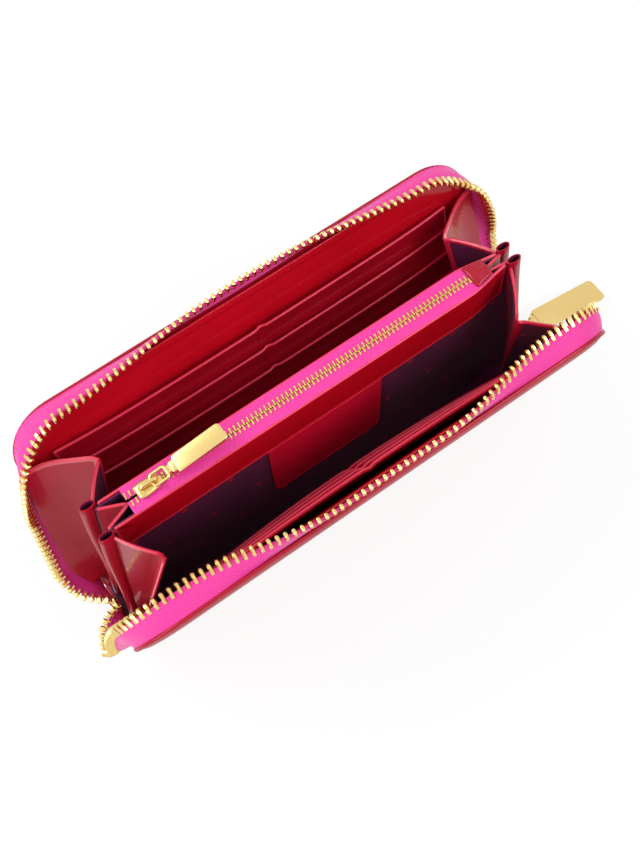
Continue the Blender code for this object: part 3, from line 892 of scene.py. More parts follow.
def tube_rings(path: Sequence[Vector], radius: float, sides: int, closed: bool = False,
               squash: float = 1.0) -> list[list[Vector]]:
    """Rings of a round wire along a path.

    Args:
        path: The middle line.
        radius: The wire's radius.
        sides: Points on each ring.
        closed: Whether the path meets itself.
        squash: The radius across the path's plane, as a share.

    Returns:
        The rings.
    """
    count = len(path)
    rings = []
    normal = None
    for index, point in enumerate(path):
        before = path[index - 1] if closed or index else point
        after = path[(index + 1) % count] if closed or index < count - 1 else point
        ahead = (after - before).normalized()
        if normal is None:
            normal = Vector((0, 1, 0)) if abs(ahead.y) < 0.8 else Vector((0, 0, 1))
        normal = (normal - ahead * normal.dot(ahead)).normalized()
        other = ahead.cross(normal)
        rings.append([point + normal * (radius * math.cos(a)) + other * (radius * squash * math.sin(a))
                      for a in (2 * math.pi * k / sides for k in range(sides))])
    return rings


def rounded_path(corners: Sequence[Vector], radius: float, closed: bool = False,
                 steps: int = 5) -> list[Vector]:
    """A polyline with its corners replaced by short curves."""
    count = len(corners)
    path: list[Vector] = []
    for index, corner in enumerate(corners):
        if not closed and index in (0, count - 1):
            path.append(corner)
            continue
        before = corners[index - 1] - corner
        after = corners[(index + 1) % count] - corner
        reach = min(radius, before.length * 0.49, after.length * 0.49)
        begin = corner + before.normalized() * reach
        end = corner + after.normalized() * reach
        for k in range(steps + 1):
            share = k / steps
            path.append(begin * (1 - share) ** 2 + corner * (2 * share * (1 - share)) + end * share ** 2)
    return path


# The workbench that makes pieces and hands them to the frame.


@dataclass
class Bench:
    """Makes finished pieces, sets them on their bodies and notes them."""

    shelf: FinishShelf
    count: int = 0

    def piece(self, mesh: Mesh, finishes: Sequence[Finish]) -> Item:
        """Make a piece from a mesh.

        Args:
            mesh: The mesh, already in place.
            finishes: A finish for each material slot.

        Returns:
            The object.
        """
        item = show(mesh.name, mesh)
        for number, finish in enumerate(finishes):
            if number < len(mesh.materials):
                mesh.materials[number] = self.shelf.material(finish)
            else:
                mesh.materials.append(self.shelf.material(finish))
        return item

    def seat(self, item: Item, body: str, slot: Slot, *nodes: str) -> Item:
        """Set a piece on its body and let it stand for CAD nodes.

        Args:
            item: The piece.
            body: The CAD body that it moves with.
            slot: A material slot, which is not used.
            *nodes: CAD nodes that it replaces.

        Returns:
            The piece.
        """
        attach(item, body)
        self.note(item, body, slot, *nodes)
        return item

    def fit(self, mesh: Mesh, finishes: Sequence[Finish], body: str, slot: Slot,
            *nodes: str) -> Item:
        """Make a piece from a mesh and seat it."""
        return self.seat(self.piece(mesh, finishes), body, slot, *nodes)

    def bend(self, item: Item, bodies: tuple[str, str], line: tuple[Vector, Vector],
             slot: Slot, *nodes: str) -> None:
        """Bake a soft piece's transform and log it as lying between two bodies.

        Args:
            item: The piece.
            bodies: The two CAD bodies that it joins.
            line: Where it leaves the first body and where it reaches the second; it is not used.
            slot: A material slot, which is not used.
            *nodes: CAD nodes that it replaces.
        """
        start, end = (tuple(point * MM) for point in line)
        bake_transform(item)
        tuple(start)
        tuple(end)
        self.note(item, " to ".join(bodies), slot, *nodes)

    def note(self, item: Item, body: str, slot: Slot, *nodes: str) -> None:
        """Hide the CAD nodes that a piece replaces, count the piece and log it."""
        if nodes:
            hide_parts(*nodes)
        self.count += 1
        LOG.info("%s on %s, %d faces", item.name, body, len(item.data.polygons))


# Repeats along a path, made with Geometry Nodes.


@dataclass(frozen=True)
class PathStation:
    """A place on a path, with the way an item points and the way it faces."""

    point: Vector
    reach: Vector
    face: Vector


def build_repeat_tree() -> bpy.types.NodeTree:
    """A tree that sets one item along a path at an even pitch.

    Returns:
        The tree, with inputs for the path, the item, its pitch and its finish.
    """
    tree = bpy.data.node_groups.new("items_along_path", "GeometryNodeTree")
    for key, kind in (("Path", "Geometry"), ("Item", "Object"), ("Pitch", "Float"), ("Finish", "Material")):
        tree.interface.new_socket(key, in_out="INPUT", socket_type=f"NodeSocket{kind}")
    tree.interface.new_socket("Items", in_out="OUTPUT", socket_type="NodeSocketGeometry")
    sheet = NodeSheet(tree)
    start = sheet.add("NodeGroupInput")
    end = sheet.add("NodeGroupOutput")
    curve = sheet.wire("GeometryNodeMeshToCurve", {"Mesh": start.outputs["Path"]})
    even = sheet.wire("GeometryNodeResampleCurve", {"Curve": curve, "Length": start.outputs["Pitch"]},
                      mode="LENGTH")
    ways = [sheet.wire("GeometryNodeInputNamedAttribute", {"Name": key}, data_type="FLOAT_VECTOR")
            for key in ("reach", "face")]
    turn = sheet.wire("FunctionNodeAxesToRotation", {"Primary Axis": ways[0], "Secondary Axis": ways[1]},
                      primary_axis="X", secondary_axis="Z")
    item = sheet.add("GeometryNodeObjectInfo")
    sheet.join(start.outputs["Item"], item.inputs["Object"])
    placed = sheet.wire("GeometryNodeInstanceOnPoints",
                        {"Points": even, "Instance": item.outputs["Geometry"], "Rotation": turn})
    real = sheet.wire("GeometryNodeRealizeInstances", {0: placed})
    dressed = sheet.wire("GeometryNodeSetMaterial", {"Geometry": real, "Material": start.outputs["Finish"]})
    sheet.join(dressed, end.inputs["Items"])
    return tree


@dataclass
class Repeater:
    """Sets teeth and stitches along paths and returns plain meshes."""

    bench: Bench
    tree: bpy.types.NodeTree = field(default_factory=build_repeat_tree)

    def along(self, name: str, paths: Sequence[Sequence[PathStation]], item: Mesh,
              pitch: float, finish: Finish) -> Item:
        """Repeat an item along paths.

        Args:
            name: The new piece's name.
            paths: The paths, each a run of stations.
            item: The mesh of one item, drawn at the origin.
            pitch: The distance between items.
            finish: Their finish.

        Returns:
            The new piece, a plain mesh.
        """
        stations = [station for path in paths for station in path]
        edges = []
        first = 0
        for path in paths:
            edges += [(first + k, first + k + 1) for k in range(len(path) - 1)]
            first += len(path)
        line = bpy.data.meshes.new(f"{name}_path")
        line.from_pydata([station.point * MM for station in stations], edges, [])
        for key in ("reach", "face"):
            attribute = line.attributes.new(key, "FLOAT_VECTOR", "POINT")
            values = [number for station in stations for number in getattr(station, key)]
            attribute.data.foreach_set("vector", values)
        carrier, model = show(f"{name}_path", line), show(f"{name}_item", item)
        modifier = carrier.modifiers.new("repeat", "NODES")
        modifier.node_group = self.tree
        sockets = {socket.name: socket.identifier for socket in self.tree.interface.items_tree
                   if socket.in_out == "INPUT"}
        modifier[sockets["Item"]] = model
        modifier[sockets["Pitch"]] = pitch * MM
        modifier[sockets["Finish"]] = self.bench.shelf.material(finish)
        view = bpy.context.evaluated_depsgraph_get()
        mesh = bpy.data.meshes.new_from_object(carrier.evaluated_get(view))
        mesh.name = name
        carrier.modifiers.remove(modifier)
        for helper in (carrier, model):
            bpy.data.objects.remove(helper)
        bpy.data.meshes.remove(line)
        return self.bench.piece(mesh, (finish,))


@dataclass(frozen=True)
class ToothShape:
    """One stamped zip tooth: a head and two legs that grip the tape's edge.

    It is drawn with X away from the tape and Z across the tape's thickness.
    """

    reach: float
    width: float
    height: float
    leg: float
    grip: float

    def mesh(self, name: str) -> Mesh:
        """Draw the tooth."""
        shape = Shape()
        half_y, half_z = self.width / 2, self.height / 2
        rings = []
        for x, share in ((-0.12 * self.reach, 0.82), (self.reach * 0.1, 1.0), (self.reach * 0.66, 1.0),
                         (self.reach * 0.9, 0.8), (self.reach, 0.45)):
            rings.append(self.ring(x, half_y * share, half_z * share))
        shape.loft(rings)
        for sign in (1, -1):
            centre = sign * (self.grip + half_z) / 2
            depth = (half_z - self.grip) / 2
            legs = [self.ring(-self.leg, half_y * 0.8, depth * 0.6, centre),
                    self.ring(-self.leg * 0.75, half_y * 0.95, depth, centre),
                    self.ring(0.05 * self.reach, half_y * 0.95, depth, centre)]
            shape.loft([ring[::2] for ring in legs])
        return shape.mesh(name, 30.0)

    @staticmethod
    def ring(x: float, half_y: float, half_z: float, centre: float = 0.0) -> list[Vector]:
        """Eight points of a chamfered section."""
        cut = 0.55
        flat = ((1, cut), (cut, 1), (-cut, 1), (-1, cut), (-1, -cut), (-cut, -1), (cut, -1), (1, -cut))
        return [Vector((x, half_y * y, centre + half_z * z)) for y, z in flat]


def stitch_mesh(name: str, length: float, radius: float) -> Mesh:
    """One sunken stitch: a short tapered thread along Y, with Z away from the leather."""
    shape = Shape()
    rings = []
    for place, share in ((-0.5, 0.35), (-0.36, 0.9), (0.0, 1.0), (0.36, 0.9), (0.5, 0.35)):
        drop = -radius * 2.2 * (2 * place) ** 4
        thick = radius * share
        rings.append([Vector((thick * math.cos(a), place * length, drop + thick * math.sin(a)))
                      for a in (2 * math.pi * k / 6 for k in range(6))])
    shape.loft(rings)
    return shape.mesh(name, 60.0)


# The case.


@dataclass(frozen=True)
class CoverPlane:
    """The leaning plane of one cover, seen from inside: along, up and inwards."""

    side: Side
    hinge_y: float = 12.5
    hinge_z: float = 0.6
    lean: float = 18.5 * DEG

    def point(self, u: float, v: float, d: float) -> Vector:
        """A place from its way along the spine, up the cover and in from the leather's inner face."""
        y = self.hinge_y + v * math.sin(self.lean) - d * math.cos(self.lean)
        z = self.hinge_z + v * math.cos(self.lean) + d * math.sin(self.lean)
        return Vector((u, self.side.value * y, z))

    def direction(self, u: float, v: float, d: float) -> Vector:
        """A direction in the same terms."""
        return self.point(u, v, d) - self.point(0.0, 0.0, 0.0)


@dataclass(frozen=True)
class EdgeStation:
    """A place on a cover's edge, the way out of it, and how the tape lies there.

    The last three are shares: how flat the tape lies, how narrow it shows, and how far it
    is pinched towards the other tape. The swell is the slack that widens it.
    """

    u: float
    v: float
    out_u: float
    out_v: float
    lie: float
    narrow: float
    pinch: float
    swell: float = 0.0


@dataclass
class EdgeRun:
    """The walk of the zip up one end, over the top and down the other end of a cover."""

    plane: CoverPlane
    half_length: float = COVER_HALF
    height: float = COVER_HEIGHT
    corner: float = COVER_CORNER
    inset: float = 0.6
    left_foot: float = 9.0
    right_foot: float = 24.0
    root_depth: float = 0.65
    width: float = 7.4
    width_middle: float = 4.0
    lean: float = 84.0 * DEG
    lean_middle: dict[Side, float] = by_side(26.0 * DEG, 3.0 * DEG)
    plateau: dict[Side, float] = by_side(1.0, 0.75)
    pucker: dict[Side, float] = by_side(0.42, 0.0)
    corner_lie: float = 0.2
    end_lie: dict[Side, float] = by_side(1.3, 0.95)
    end_span: float = 26.0
    foot_span: float = 9.0
    slack: float = 4.2
    slack_rise: float = 14.0
    slack_drop: float = 26.0
    slack_fade: float = 30.0
    pinch_span: float = 13.0
    meeting: float = 1.5

    def end_flatness(self, foot: float, drop: float) -> float:
        """How flat the tape lies on an end, by its distances from the foot and from the corner."""
        rising = min(drop / self.end_span, 1.0)
        flat = self.corner_lie + (self.end_lie[self.plane.side] - self.corner_lie) * rising
        return smooth_step(foot / self.foot_span) * flat

    def turn_flatness(self, share: float) -> float:
        """How flat the tape lies round a corner, from the end to the top; it puckers inwards between."""
        return self.corner_lie * (1.0 - share) - self.pucker[self.plane.side] * math.sin(math.pi * share)

    def left_slack(self, along: float, length: float) -> float:
        """How much slack widens the tape on the left end, by the way up from its foot."""
        fading = min(max((length - self.slack_drop - along) / self.slack_fade, 0.0), 1.0)
        return self.slack * smooth_step(along / self.slack_rise) * fading

    def walk(self, inset_by: float, step: float) -> list[EdgeStation]:
        """Walk round the cover's edge.

        Args:
            inset_by: Distance in from the cover's edge.
            step: The wanted distance between stations.

        Returns:
            The stations.
        """
        half, top, radius = self.half_length - inset_by, self.height - inset_by, self.corner - inset_by
        turning = radius * RIGHT_ANGLE
        runs = (top - radius - self.left_foot, turning, 2 * (half - radius), turning,
                top - radius - self.right_foot)
        total = sum(runs)
        count = round(total / step)
        stations = []
        for k in range(count + 1):
            along = total * k / count
            part = 0
            while part < 4 and along > runs[part]:
                along -= runs[part]
                part += 1
            narrow, pinch, swell = 0.0, 0.0, 0.0
            if part == 0:
                point, out = (-half, self.left_foot + along), (-1.0, 0.0)
                pinch = 1.0 - smooth_step(along / self.pinch_span)
                lie = self.end_flatness(along, runs[0] - along)
                swell = self.left_slack(along, runs[0])
            elif part == 2:
                point, out = (radius - half + along, top), (0.0, 1.0)
                inward = 1.0 - abs(2.0 * along / runs[2] - 1.0)
                lie = smooth_step(inward / self.plateau[self.plane.side])
                narrow = lie
            elif part == 4:
                point, out = (half, top - radius - along), (1.0, 0.0)
                pinch = 1.0 - smooth_step((runs[4] - along) / self.pinch_span)
                lie = self.end_flatness(runs[4] - along, along)
            else:
                left = part == 1
                turn = (math.pi if left else RIGHT_ANGLE) - along / radius
                lie = self.turn_flatness(along / turning if left else 1.0 - along / turning)
                out = (math.cos(turn), math.sin(turn))
                middle = radius - half if left else half - radius
                point = (middle + radius * out[0], top - radius + radius * out[1])
            stations.append(EdgeStation(*point, *out, lie, narrow, pinch, swell))
        return stations

    def frame(self, station: EdgeStation) -> tuple[Vector, Vector, Vector, float]:
        """Root, leaning way, thickness way and free width of the tape at a station."""
        lean = self.lean + (self.lean_middle[self.plane.side] - self.lean) * station.lie
        width = self.width + (self.width_middle - self.width) * station.narrow + station.swell
        cos, sin = math.cos(lean), math.sin(lean)
        root = self.plane.point(station.u, station.v, self.root_depth)
        along = self.plane.direction(station.out_u * cos, station.out_v * cos, sin)
        across = self.plane.direction(station.out_u * sin, station.out_v * sin, -cos)
        if station.pinch > 0.0:
            level = Vector((0.0, -self.plane.side.value, 0.0))
            along = along.lerp(level, station.pinch).normalized()
            across = (across - along * across.dot(along)).normalized()
            width += (abs(root.y) - self.meeting - width) * station.pinch
        return root, along, across, width


TAPE_SECTION = ((-1.6, 0.0, 1.0), (0.0, 0.0, 1.0), (0.2, 0.12, 1.0), (0.4, 0.2, 1.0), (0.6, 0.2, 1.0),
                (0.8, 0.12, 1.0), (0.9, 0.04, 1.1), (0.96, 0.0, 1.5), (1.0, 0.0, 1.5))
SEAM_POINTS = (-2.6, -1.6, -0.8, 0.0, 0.8, 1.6, 2.6)
SAME_LEVEL = 0.01


@dataclass
class Cover:
    """One cover: leather, facing, card pockets, zip tape, teeth and stitching."""

    bench: Bench
    repeater: Repeater
    side: Side
    half_length: float = COVER_HALF
    height: float = COVER_HEIGHT
    foot: float = 0.5
    corner: float = COVER_CORNER
    leather: float = 1.3
    padding: tuple[Flat, ...] = ((0.0, 0.0), (0.1, 0.45), (0.4, 0.8), (0.9, 0.95), (1.4, 0.85),
                                 (1.75, 0.65), (2.0, 0.75), (2.4, 1.1), (3.1, 1.45), (4.6, 1.9),
                                 (7.5, 2.2))
    padding_crown: float = 0.5
    padding_foot: float = 1.0
    padding_fade: float = 16.0
    facing: float = 0.7
    facing_depth: float = 1.3
    facing_inset: float = 2.5
    facing_foot: float = 3.0
    facing_hem: float = 3.4
    facing_bead: float = 0.22
    pocket_tops: tuple[float, ...] = (82.5, 72.0, 61.0, 50.0)
    pocket_foot: float = 9.0
    pocket_half: float = 85.0
    pocket_corner: float = 1.2
    pocket_leather: float = 0.5
    pocket_depth: float = 2.3
    pocket_overlap: float = 6.0
    pocket_cord: float = 0.75
    pocket_proud: float = 0.85
    pocket_gape: dict[Side, float] = by_side(0.9, 1.9)
    pocket_step: dict[Side, float] = by_side(0.0, 0.95)
    pocket_flare: dict[Side, float] = by_side(1.9, 0.8)
    pocket_pressed: dict[Side, float] = by_side(0.55, 0.5)
    pocket_swell: float = 45.0
    mouth_span: float = 4.0
    seam_half: float = 1.5
    seam_hold: float = 0.4
    seam_sink: float = 0.22
    tape: float = 0.6
    tape_bow: float = 0.35
    tape_step: float = 2.0
    tooth_pitch: float = 2.8
    tooth_lift: float = 0.15
    stitch_pitch: float = 3.0
    stitch_inset: float = 2.2
    stitch_lift: float = 0.10
    free_foot: float = 18.0
    free_start: float = 2.5
    free_end: float = 11.0
    end_u: float = 90.0

    def __post_init__(self) -> None:
        """Set up the plane, the zip's walk and the names."""
        self.plane = CoverPlane(self.side)
        self.run = EdgeRun(self.plane)
        self.tooth = ToothShape(reach=2.3, width=1.45, height=2.3, leg=1.5, grip=0.34)
        self.word = self.side.word

    def build(self) -> None:
        """Make and seat every piece of the cover."""
        self.build_leather()
        self.build_facing()
        self.build_pockets()
        self.build_tape()
        self.build_teeth()
        self.build_stitches()

    def arch(self, inset_by: float, foot: float) -> list[Flat]:
        """The cover's outline, set in and cut off at a foot."""
        radius = self.corner - inset_by
        half = self.half_length - inset_by
        top = self.height - self.corner
        outline = [(-half, foot), (half, foot),
                   *arc_points((half - radius, top), radius, 0.0, RIGHT_ANGLE, 12),
                   *arc_points((radius - half, top), radius, RIGHT_ANGLE, math.pi, 12)]
        return spread(outline, 8.0)

    def build_leather(self) -> None:
        """The outer hide, drawn over padding, with a turned edge."""
        outline = [(-u, v) for u, v in reversed(self.arch(0.0, self.foot))]
        middle = self.leather / 2
        back = EdgeProfile.rolled(self.leather).back
        profile = EdgeProfile(self.padding, back, self.padding_crown)

        def place(u: float, v: float, h: float) -> Vector:
            """A place on the hide, whose padding thins out towards the spine."""
            padded = max(h - middle, 0.0)
            kept = smooth_step((v - self.padding_foot) / self.padding_fade)
            return self.plane.point(-u, v, padded - h - middle - padded * kept)

        mesh = panel_mesh(f"{self.word}_hide", outline, profile, place)
        self.bench.fit(mesh, (Finish.PATENT,), self.side.body, Slot.PATENT, f"{self.word}_cover_leather")
        board = bpy.data.objects[f"{self.word}_cover_board"]
        board.data.materials.clear()
        board.data.materials.append(self.bench.shelf.material(Finish.BOARD))

    def build_facing(self) -> None:
        """The inner facing with a rolled border beside the zip."""
        outline = self.arch(self.facing_inset, self.facing_foot)
        profile = EdgeProfile.rolled(self.facing, hem=self.facing_hem, bead=self.facing_bead)
        middle = self.facing_depth + self.facing / 2
        mesh = panel_mesh(f"{self.word}_facing", outline, profile,
                          lambda u, v, h: self.plane.point(u, v, middle + h))
        self.bench.fit(mesh, (Finish.HIDE,), self.side.body, Slot.LEATHER, f"{self.word}_cover_facing")

    def build_pockets(self) -> None:
        """Card pockets sewn like shingles and split by a middle seam, each with a turned top edge."""
        profile = EdgeProfile.corded(self.pocket_leather, self.pocket_cord)
        feet = [top - self.pocket_overlap for top in self.pocket_tops[1:]] + [self.pocket_foot]
        for number, (top, foot) in enumerate(zip(self.pocket_tops, feet), start=1):
            mesh = panel_mesh(f"{self.word}_pocket_{number}", self.pocket_outline(foot, top), profile,
                              self.pocket_place(number, foot, top), rim_slot=1, rim_rows=CORD_ROWS)
            # Pocket faces take the darker copy with painted shade, their corded rims the brighter copy with
            # a painted highlight.
            item = self.bench.fit(mesh, (Finish.POCKET, Finish.EDGE), self.side.body, Slot.LEATHER,
                                  f"{self.word}_card_pocket_{number}")
            tuple(self.plane.direction(0.0, 0.0, 1.0))
            tuple(self.plane.point(0.0, 50.0, self.pocket_depth) * MM)
            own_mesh(item)

    def pocket_place(self, number: int, foot: float, top: float) -> Place:
        """Places on a pocket's tilted sheet, whose mouth gapes between its seams.

        Args:
            number: The pocket's number, from the top.
            foot: Its foot.
            top: Its mouth.

        Returns:
            A function from flat coordinates and a height to a point.
        """
        base = self.pocket_depth + self.pocket_leather / 2
        belly = self.pocket_gape[self.side] + self.pocket_step[self.side] * (number - 1)

        def place(u: float, v: float, h: float) -> Vector:
            """A place on the pocket."""
            sideways = u / self.pocket_half
            swell = smooth_step((v - self.pocket_foot) / self.pocket_swell)
            seam = math.exp(-((u / self.seam_half) ** 2))
            mouth = math.exp(-max(top - v, 0.0) / self.mouth_span) * (1.0 - sideways ** 6)
            mouth *= 1.0 - self.seam_hold * seam
            lift = self.pocket_proud * (v - foot) / (top - foot) + belly * (1.0 - sideways ** 2) * swell
            lift += self.pocket_flare[self.side] * mouth - self.seam_sink * seam
            return self.plane.point(u, v, base + lift + h)

        return place

    def pocket_outline(self, foot: float, top: float) -> list[Flat]:
        """A pocket's outline, with close points beside the middle seam."""
        half = self.pocket_half
        outline = spread(rounded_box(-half, half, foot, top, (self.pocket_corner,) * 4, 4), 6.0)
        points = [(u, v) for u, v in outline if abs(u) > 3.0]
        for level, order in ((foot, SEAM_POINTS), (top, SEAM_POINTS[::-1])):
            on_level = [abs(v - level) < SAME_LEVEL for _, v in points]
            crossing = next(k for k, (u, _) in enumerate(points)
                            if on_level[k] and on_level[k - 1] and u * points[k - 1][0] < 0)
            points[crossing:crossing] = [(u, level) for u in order]
        return points

    def segments(self, stations: Sequence[EdgeStation], gap: int) -> list[tuple[str, list[EdgeStation]]]:
        """Split the zip into its two free feet and the part that is sewn to the cover.

        Args:
            stations: The whole walk.
            gap: How many steps a part starts after the one before ends.

        Returns:
            A word and the stations of each part.
        """
        left_end = self.run.left_foot + self.free_foot
        right_end = self.run.right_foot + self.free_foot
        left = next(k for k, station in enumerate(stations) if station.v > left_end)
        right = next(k for k in range(len(stations) // 2, len(stations))
                     if stations[k].u > self.end_u and stations[k].v < right_end)
        return [("left_foot_", list(stations[:left + 1])), ("", list(stations[left + gap:right + 1])),
                ("right_foot_", list(stations[right + gap:]))]

    def seat_zip(self, item: Item, word: str, slot: Slot, node: str) -> None:
        """Seat a part of the zip: the free feet are logged as lying between the spine and the cover.

        Args:
            item: The piece.
            word: Which part it is.
            slot: Its material slot.
            node: The CAD node of the whole zip, named for the sewn part only.
        """
        if not word:
            self.bench.seat(item, self.side.body, slot, node)
            return
        start = Vector((0.0, self.side.value * self.free_start, 0.0))
        end = Vector((0.0, self.side.value * self.free_end, 0.0))
        self.bench.bend(item, (CORE, self.side.body), (start, end), slot)

    def build_tape(self) -> None:
        """The woven tape, a little bowed, with a corded edge under the teeth."""
        half = self.tape / 2
        for word, stations in self.segments(self.run.walk(self.run.inset, self.tape_step), 0):
            front, back, flats = [], [], []
            travelled = 0.0
            last: Optional[Vector] = None
            for station in stations:
                root, along, across, width = self.run.frame(station)
                travelled += (root - last).length if last else 0.0
                last = root
                for rows in (front, back, flats):
                    rows.append([])
                for share, bow, thick in TAPE_SECTION:
                    way = share if share < 0 else share * width
                    point = root + along * way + across * (bow * self.run.width * self.tape_bow)
                    front[-1].append(point + across * (half * thick))
                    back[-1].append(point - across * (half * thick))
                    flats[-1].append((travelled, way))
            mesh = strip_mesh(f"{self.word}_{word}tape", front, back, flats)
            item = self.bench.piece(mesh, (Finish.CLOTH,))
            self.seat_zip(item, word, Slot.TAPE, f"{self.word}_zip_tape")

    def build_teeth(self) -> None:
        """The row of metal teeth on the tape's edge."""
        for word, stations in self.segments(self.run.walk(self.run.inset, self.tooth_pitch / 2), 2):
            path = []
            for station in stations:
                root, along, across, width = self.run.frame(station)
                path.append(PathStation(root + along * (width + self.tooth_lift), along, across))
            item = self.repeater.along(f"{self.word}_{word}teeth", (path,), self.tooth.mesh("tooth"),
                                       self.tooth_pitch, Finish.METAL)
            self.seat_zip(item, word, Slot.METAL, f"{self.word}_zip_teeth")

    def build_stitches(self) -> None:
        """Thread along the inner facing's border."""
        depth = self.facing_depth + self.facing + self.stitch_lift
        inward = self.plane.direction(0.0, 0.0, 1.0)
        border = [PathStation(self.plane.point(station.u, station.v, depth),
                              self.plane.direction(station.out_u, station.out_v, 0.0), inward)
                  for station in self.run.walk(self.facing_inset + self.stitch_inset, self.stitch_pitch)]
        item = self.repeater.along(f"{self.word}_stitching", (border,), stitch_mesh("stitch", 2.2, 0.2),
                                   self.stitch_pitch, Finish.THREAD)
        self.bench.seat(item, self.side.body, Slot.LEATHER)


@dataclass
class Spine:
    """The hide under the wallet, its lining, its hinge strips and the zip's end tabs."""

    bench: Bench
    half_length: float = COVER_HALF
    half_width: float = 12.2
    corner: float = 0.8
    leather: float = 1.2
    lining: float = 0.7
    strip_half: float = 0.42
    strip_inset: float = 0.4
    tab_x: float = 98.7
    tab_half: float = 6.0
    tab_foot: float = 0.3
    tab_height: float = 8.3
    tab: float = 1.0

    def build(self) -> None:
        """Make and seat every piece of the spine."""
        self.build_hide()
        self.build_lining()
        for side in Side:
            self.build_hinge_strip(side)
        for end in End:
            self.build_end_tab(end)

    def lay(self, name: str, half_x: float, half_y: float, thickness: float, middle: float) -> Mesh:
        """Make a flat sheet on the spine, with its middle at a height."""
        outline = spread(rounded_box(-half_x, half_x, -half_y, half_y, (self.corner,) * 4, 3), 6.0)
        return panel_mesh(name, outline, EdgeProfile.rolled(thickness),
                          lambda x, y, h: Vector((x, y, middle + h)))

    def build_hide(self) -> None:
        """The flat hide that the wallet stands on."""
        mesh = self.lay("spine_hide", self.half_length, self.half_width, self.leather, self.leather / 2)
        self.bench.fit(mesh, (Finish.PATENT,), CORE, Slot.PATENT, "spine_leather")

    def build_lining(self) -> None:
        """The satin on the inside of the spine."""
        low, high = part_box("spine_lining")
        half_x, half_y = (high[0] - low[0]) / 2 / MM, (high[1] - low[1]) / 2 / MM
        mesh = self.lay("spine_satin", half_x, half_y, self.lining, (low[2] + high[2]) / 2 / MM)
        self.bench.fit(mesh, (Finish.SATIN,), CORE, Slot.LINING, "spine_lining")

    def build_hinge_strip(self, side: Side) -> None:
        """The turn of the hide from the spine up into a cover."""
        plane = CoverPlane(side)
        line = [Vector((0.0, side.value * y, z)) for y, z in ((10.6, 0.42), (12.0, 0.46), (13.05, 0.85))]
        line += [plane.point(0.0, 1.6, -0.62), plane.point(0.0, 3.2, -0.66)]

        def middle(s: float, t: float) -> Vector:
            """A place on the turned strip."""
            way = t * (len(line) - 1)
            index = min(int(way), len(line) - 2)
            base = line[index].lerp(line[index + 1], way - index)
            return base + Vector(((2 * s - 1) * (self.half_length - self.strip_inset), 0.0, 0.0))

        across = [k / 40 for k in range(41)]
        upward = [k / 16 for k in range(17)]
        mesh = leaf_mesh(f"{side.word}_hinge_strip", middle, across, upward, lambda s, t: self.strip_half,
                         slots=(0, 0, 0))
        item = self.bench.piece(mesh, (Finish.PATENT,))
        bent = (Vector((0.0, side.value * 11.6, 0.4)), Vector((0.0, side.value * 13.4, 1.4)))
        self.bench.bend(item, (CORE, side.body), bent, Slot.PATENT)

    def build_end_tab(self, end: End) -> None:
        """The leather tab that closes one end of the zip."""
        box = rounded_box(-self.tab_half, self.tab_half, self.tab_foot, self.tab_height,
                          (0.6, 2.4, 2.4, 0.6), 5)
        profile = EdgeProfile.rolled(self.tab, hem=1.3, bead=0.1, crown=0.25)
        sign = end.value
        mesh = panel_mesh(f"{end.word}_end_tab", spread(box, 2.0), profile,
                          lambda y, z, h: Vector((sign * (self.tab_x + h), sign * y, z)))
        self.bench.fit(mesh, (Finish.PATENT,), CORE, Slot.LEATHER, f"{end.word}_zip_end_tab")


# The gussets at the two ends.


@dataclass(frozen=True)
class RidgeLine:
    """The leaning seam where a gusset meets a coin pocket wall."""

    foot_x: float = 93.0
    top_x: float = 83.0
    foot_z: float = 4.0
    top_z: float = 92.0
    y: float = 6.3
    gather: float = 0.5
    gather_x: float = 64.0
    gather_span: float = 19.0
    gather_z: float = 35.0
    gather_rise: float = 50.0

    def pinch(self, x: float, z: float) -> float:
        """What is left of the pocket's depth where its right end is sewn together."""
        along = smooth_step((x - self.gather_x) / self.gather_span)
        return 1.0 - self.gather * along * smooth_step((z - self.gather_z) / self.gather_rise)

    def x_at(self, z: float) -> float:
        """Distance along the spine at a height."""
        return self.foot_x + (self.top_x - self.foot_x) * (z - self.foot_z) / (self.top_z - self.foot_z)

    def point(self, end: End, side_sign: float, z: float) -> Vector:
        """A place on the ridge of one end, on one side of the coin pocket."""
        x = end.value * self.x_at(z)
        return Vector((x, side_sign * self.y * self.pinch(x, z), z))


LEAF_ACROSS = (0.0, 0.02, 0.06, 0.15, 0.28, 0.42, 0.56, 0.68, 0.77, 0.84, 0.88, 0.91, 0.935, 0.96,
               0.985, 1.0)
LEAF_UPWARD = (0.0, 0.006, 0.02, 0.08, 0.16, 0.24, 0.32, 0.4, 0.48, 0.56, 0.64, 0.72, 0.8, 0.87, 0.92,
               0.95, 0.965, 0.972, 0.978, 0.984, 0.99, 0.995, 1.0)
LEAF_HEM = (4, 5)
LOOP_SIDES = 20
LOOP_ROWS = 24
MOUTH_ROWS = 6


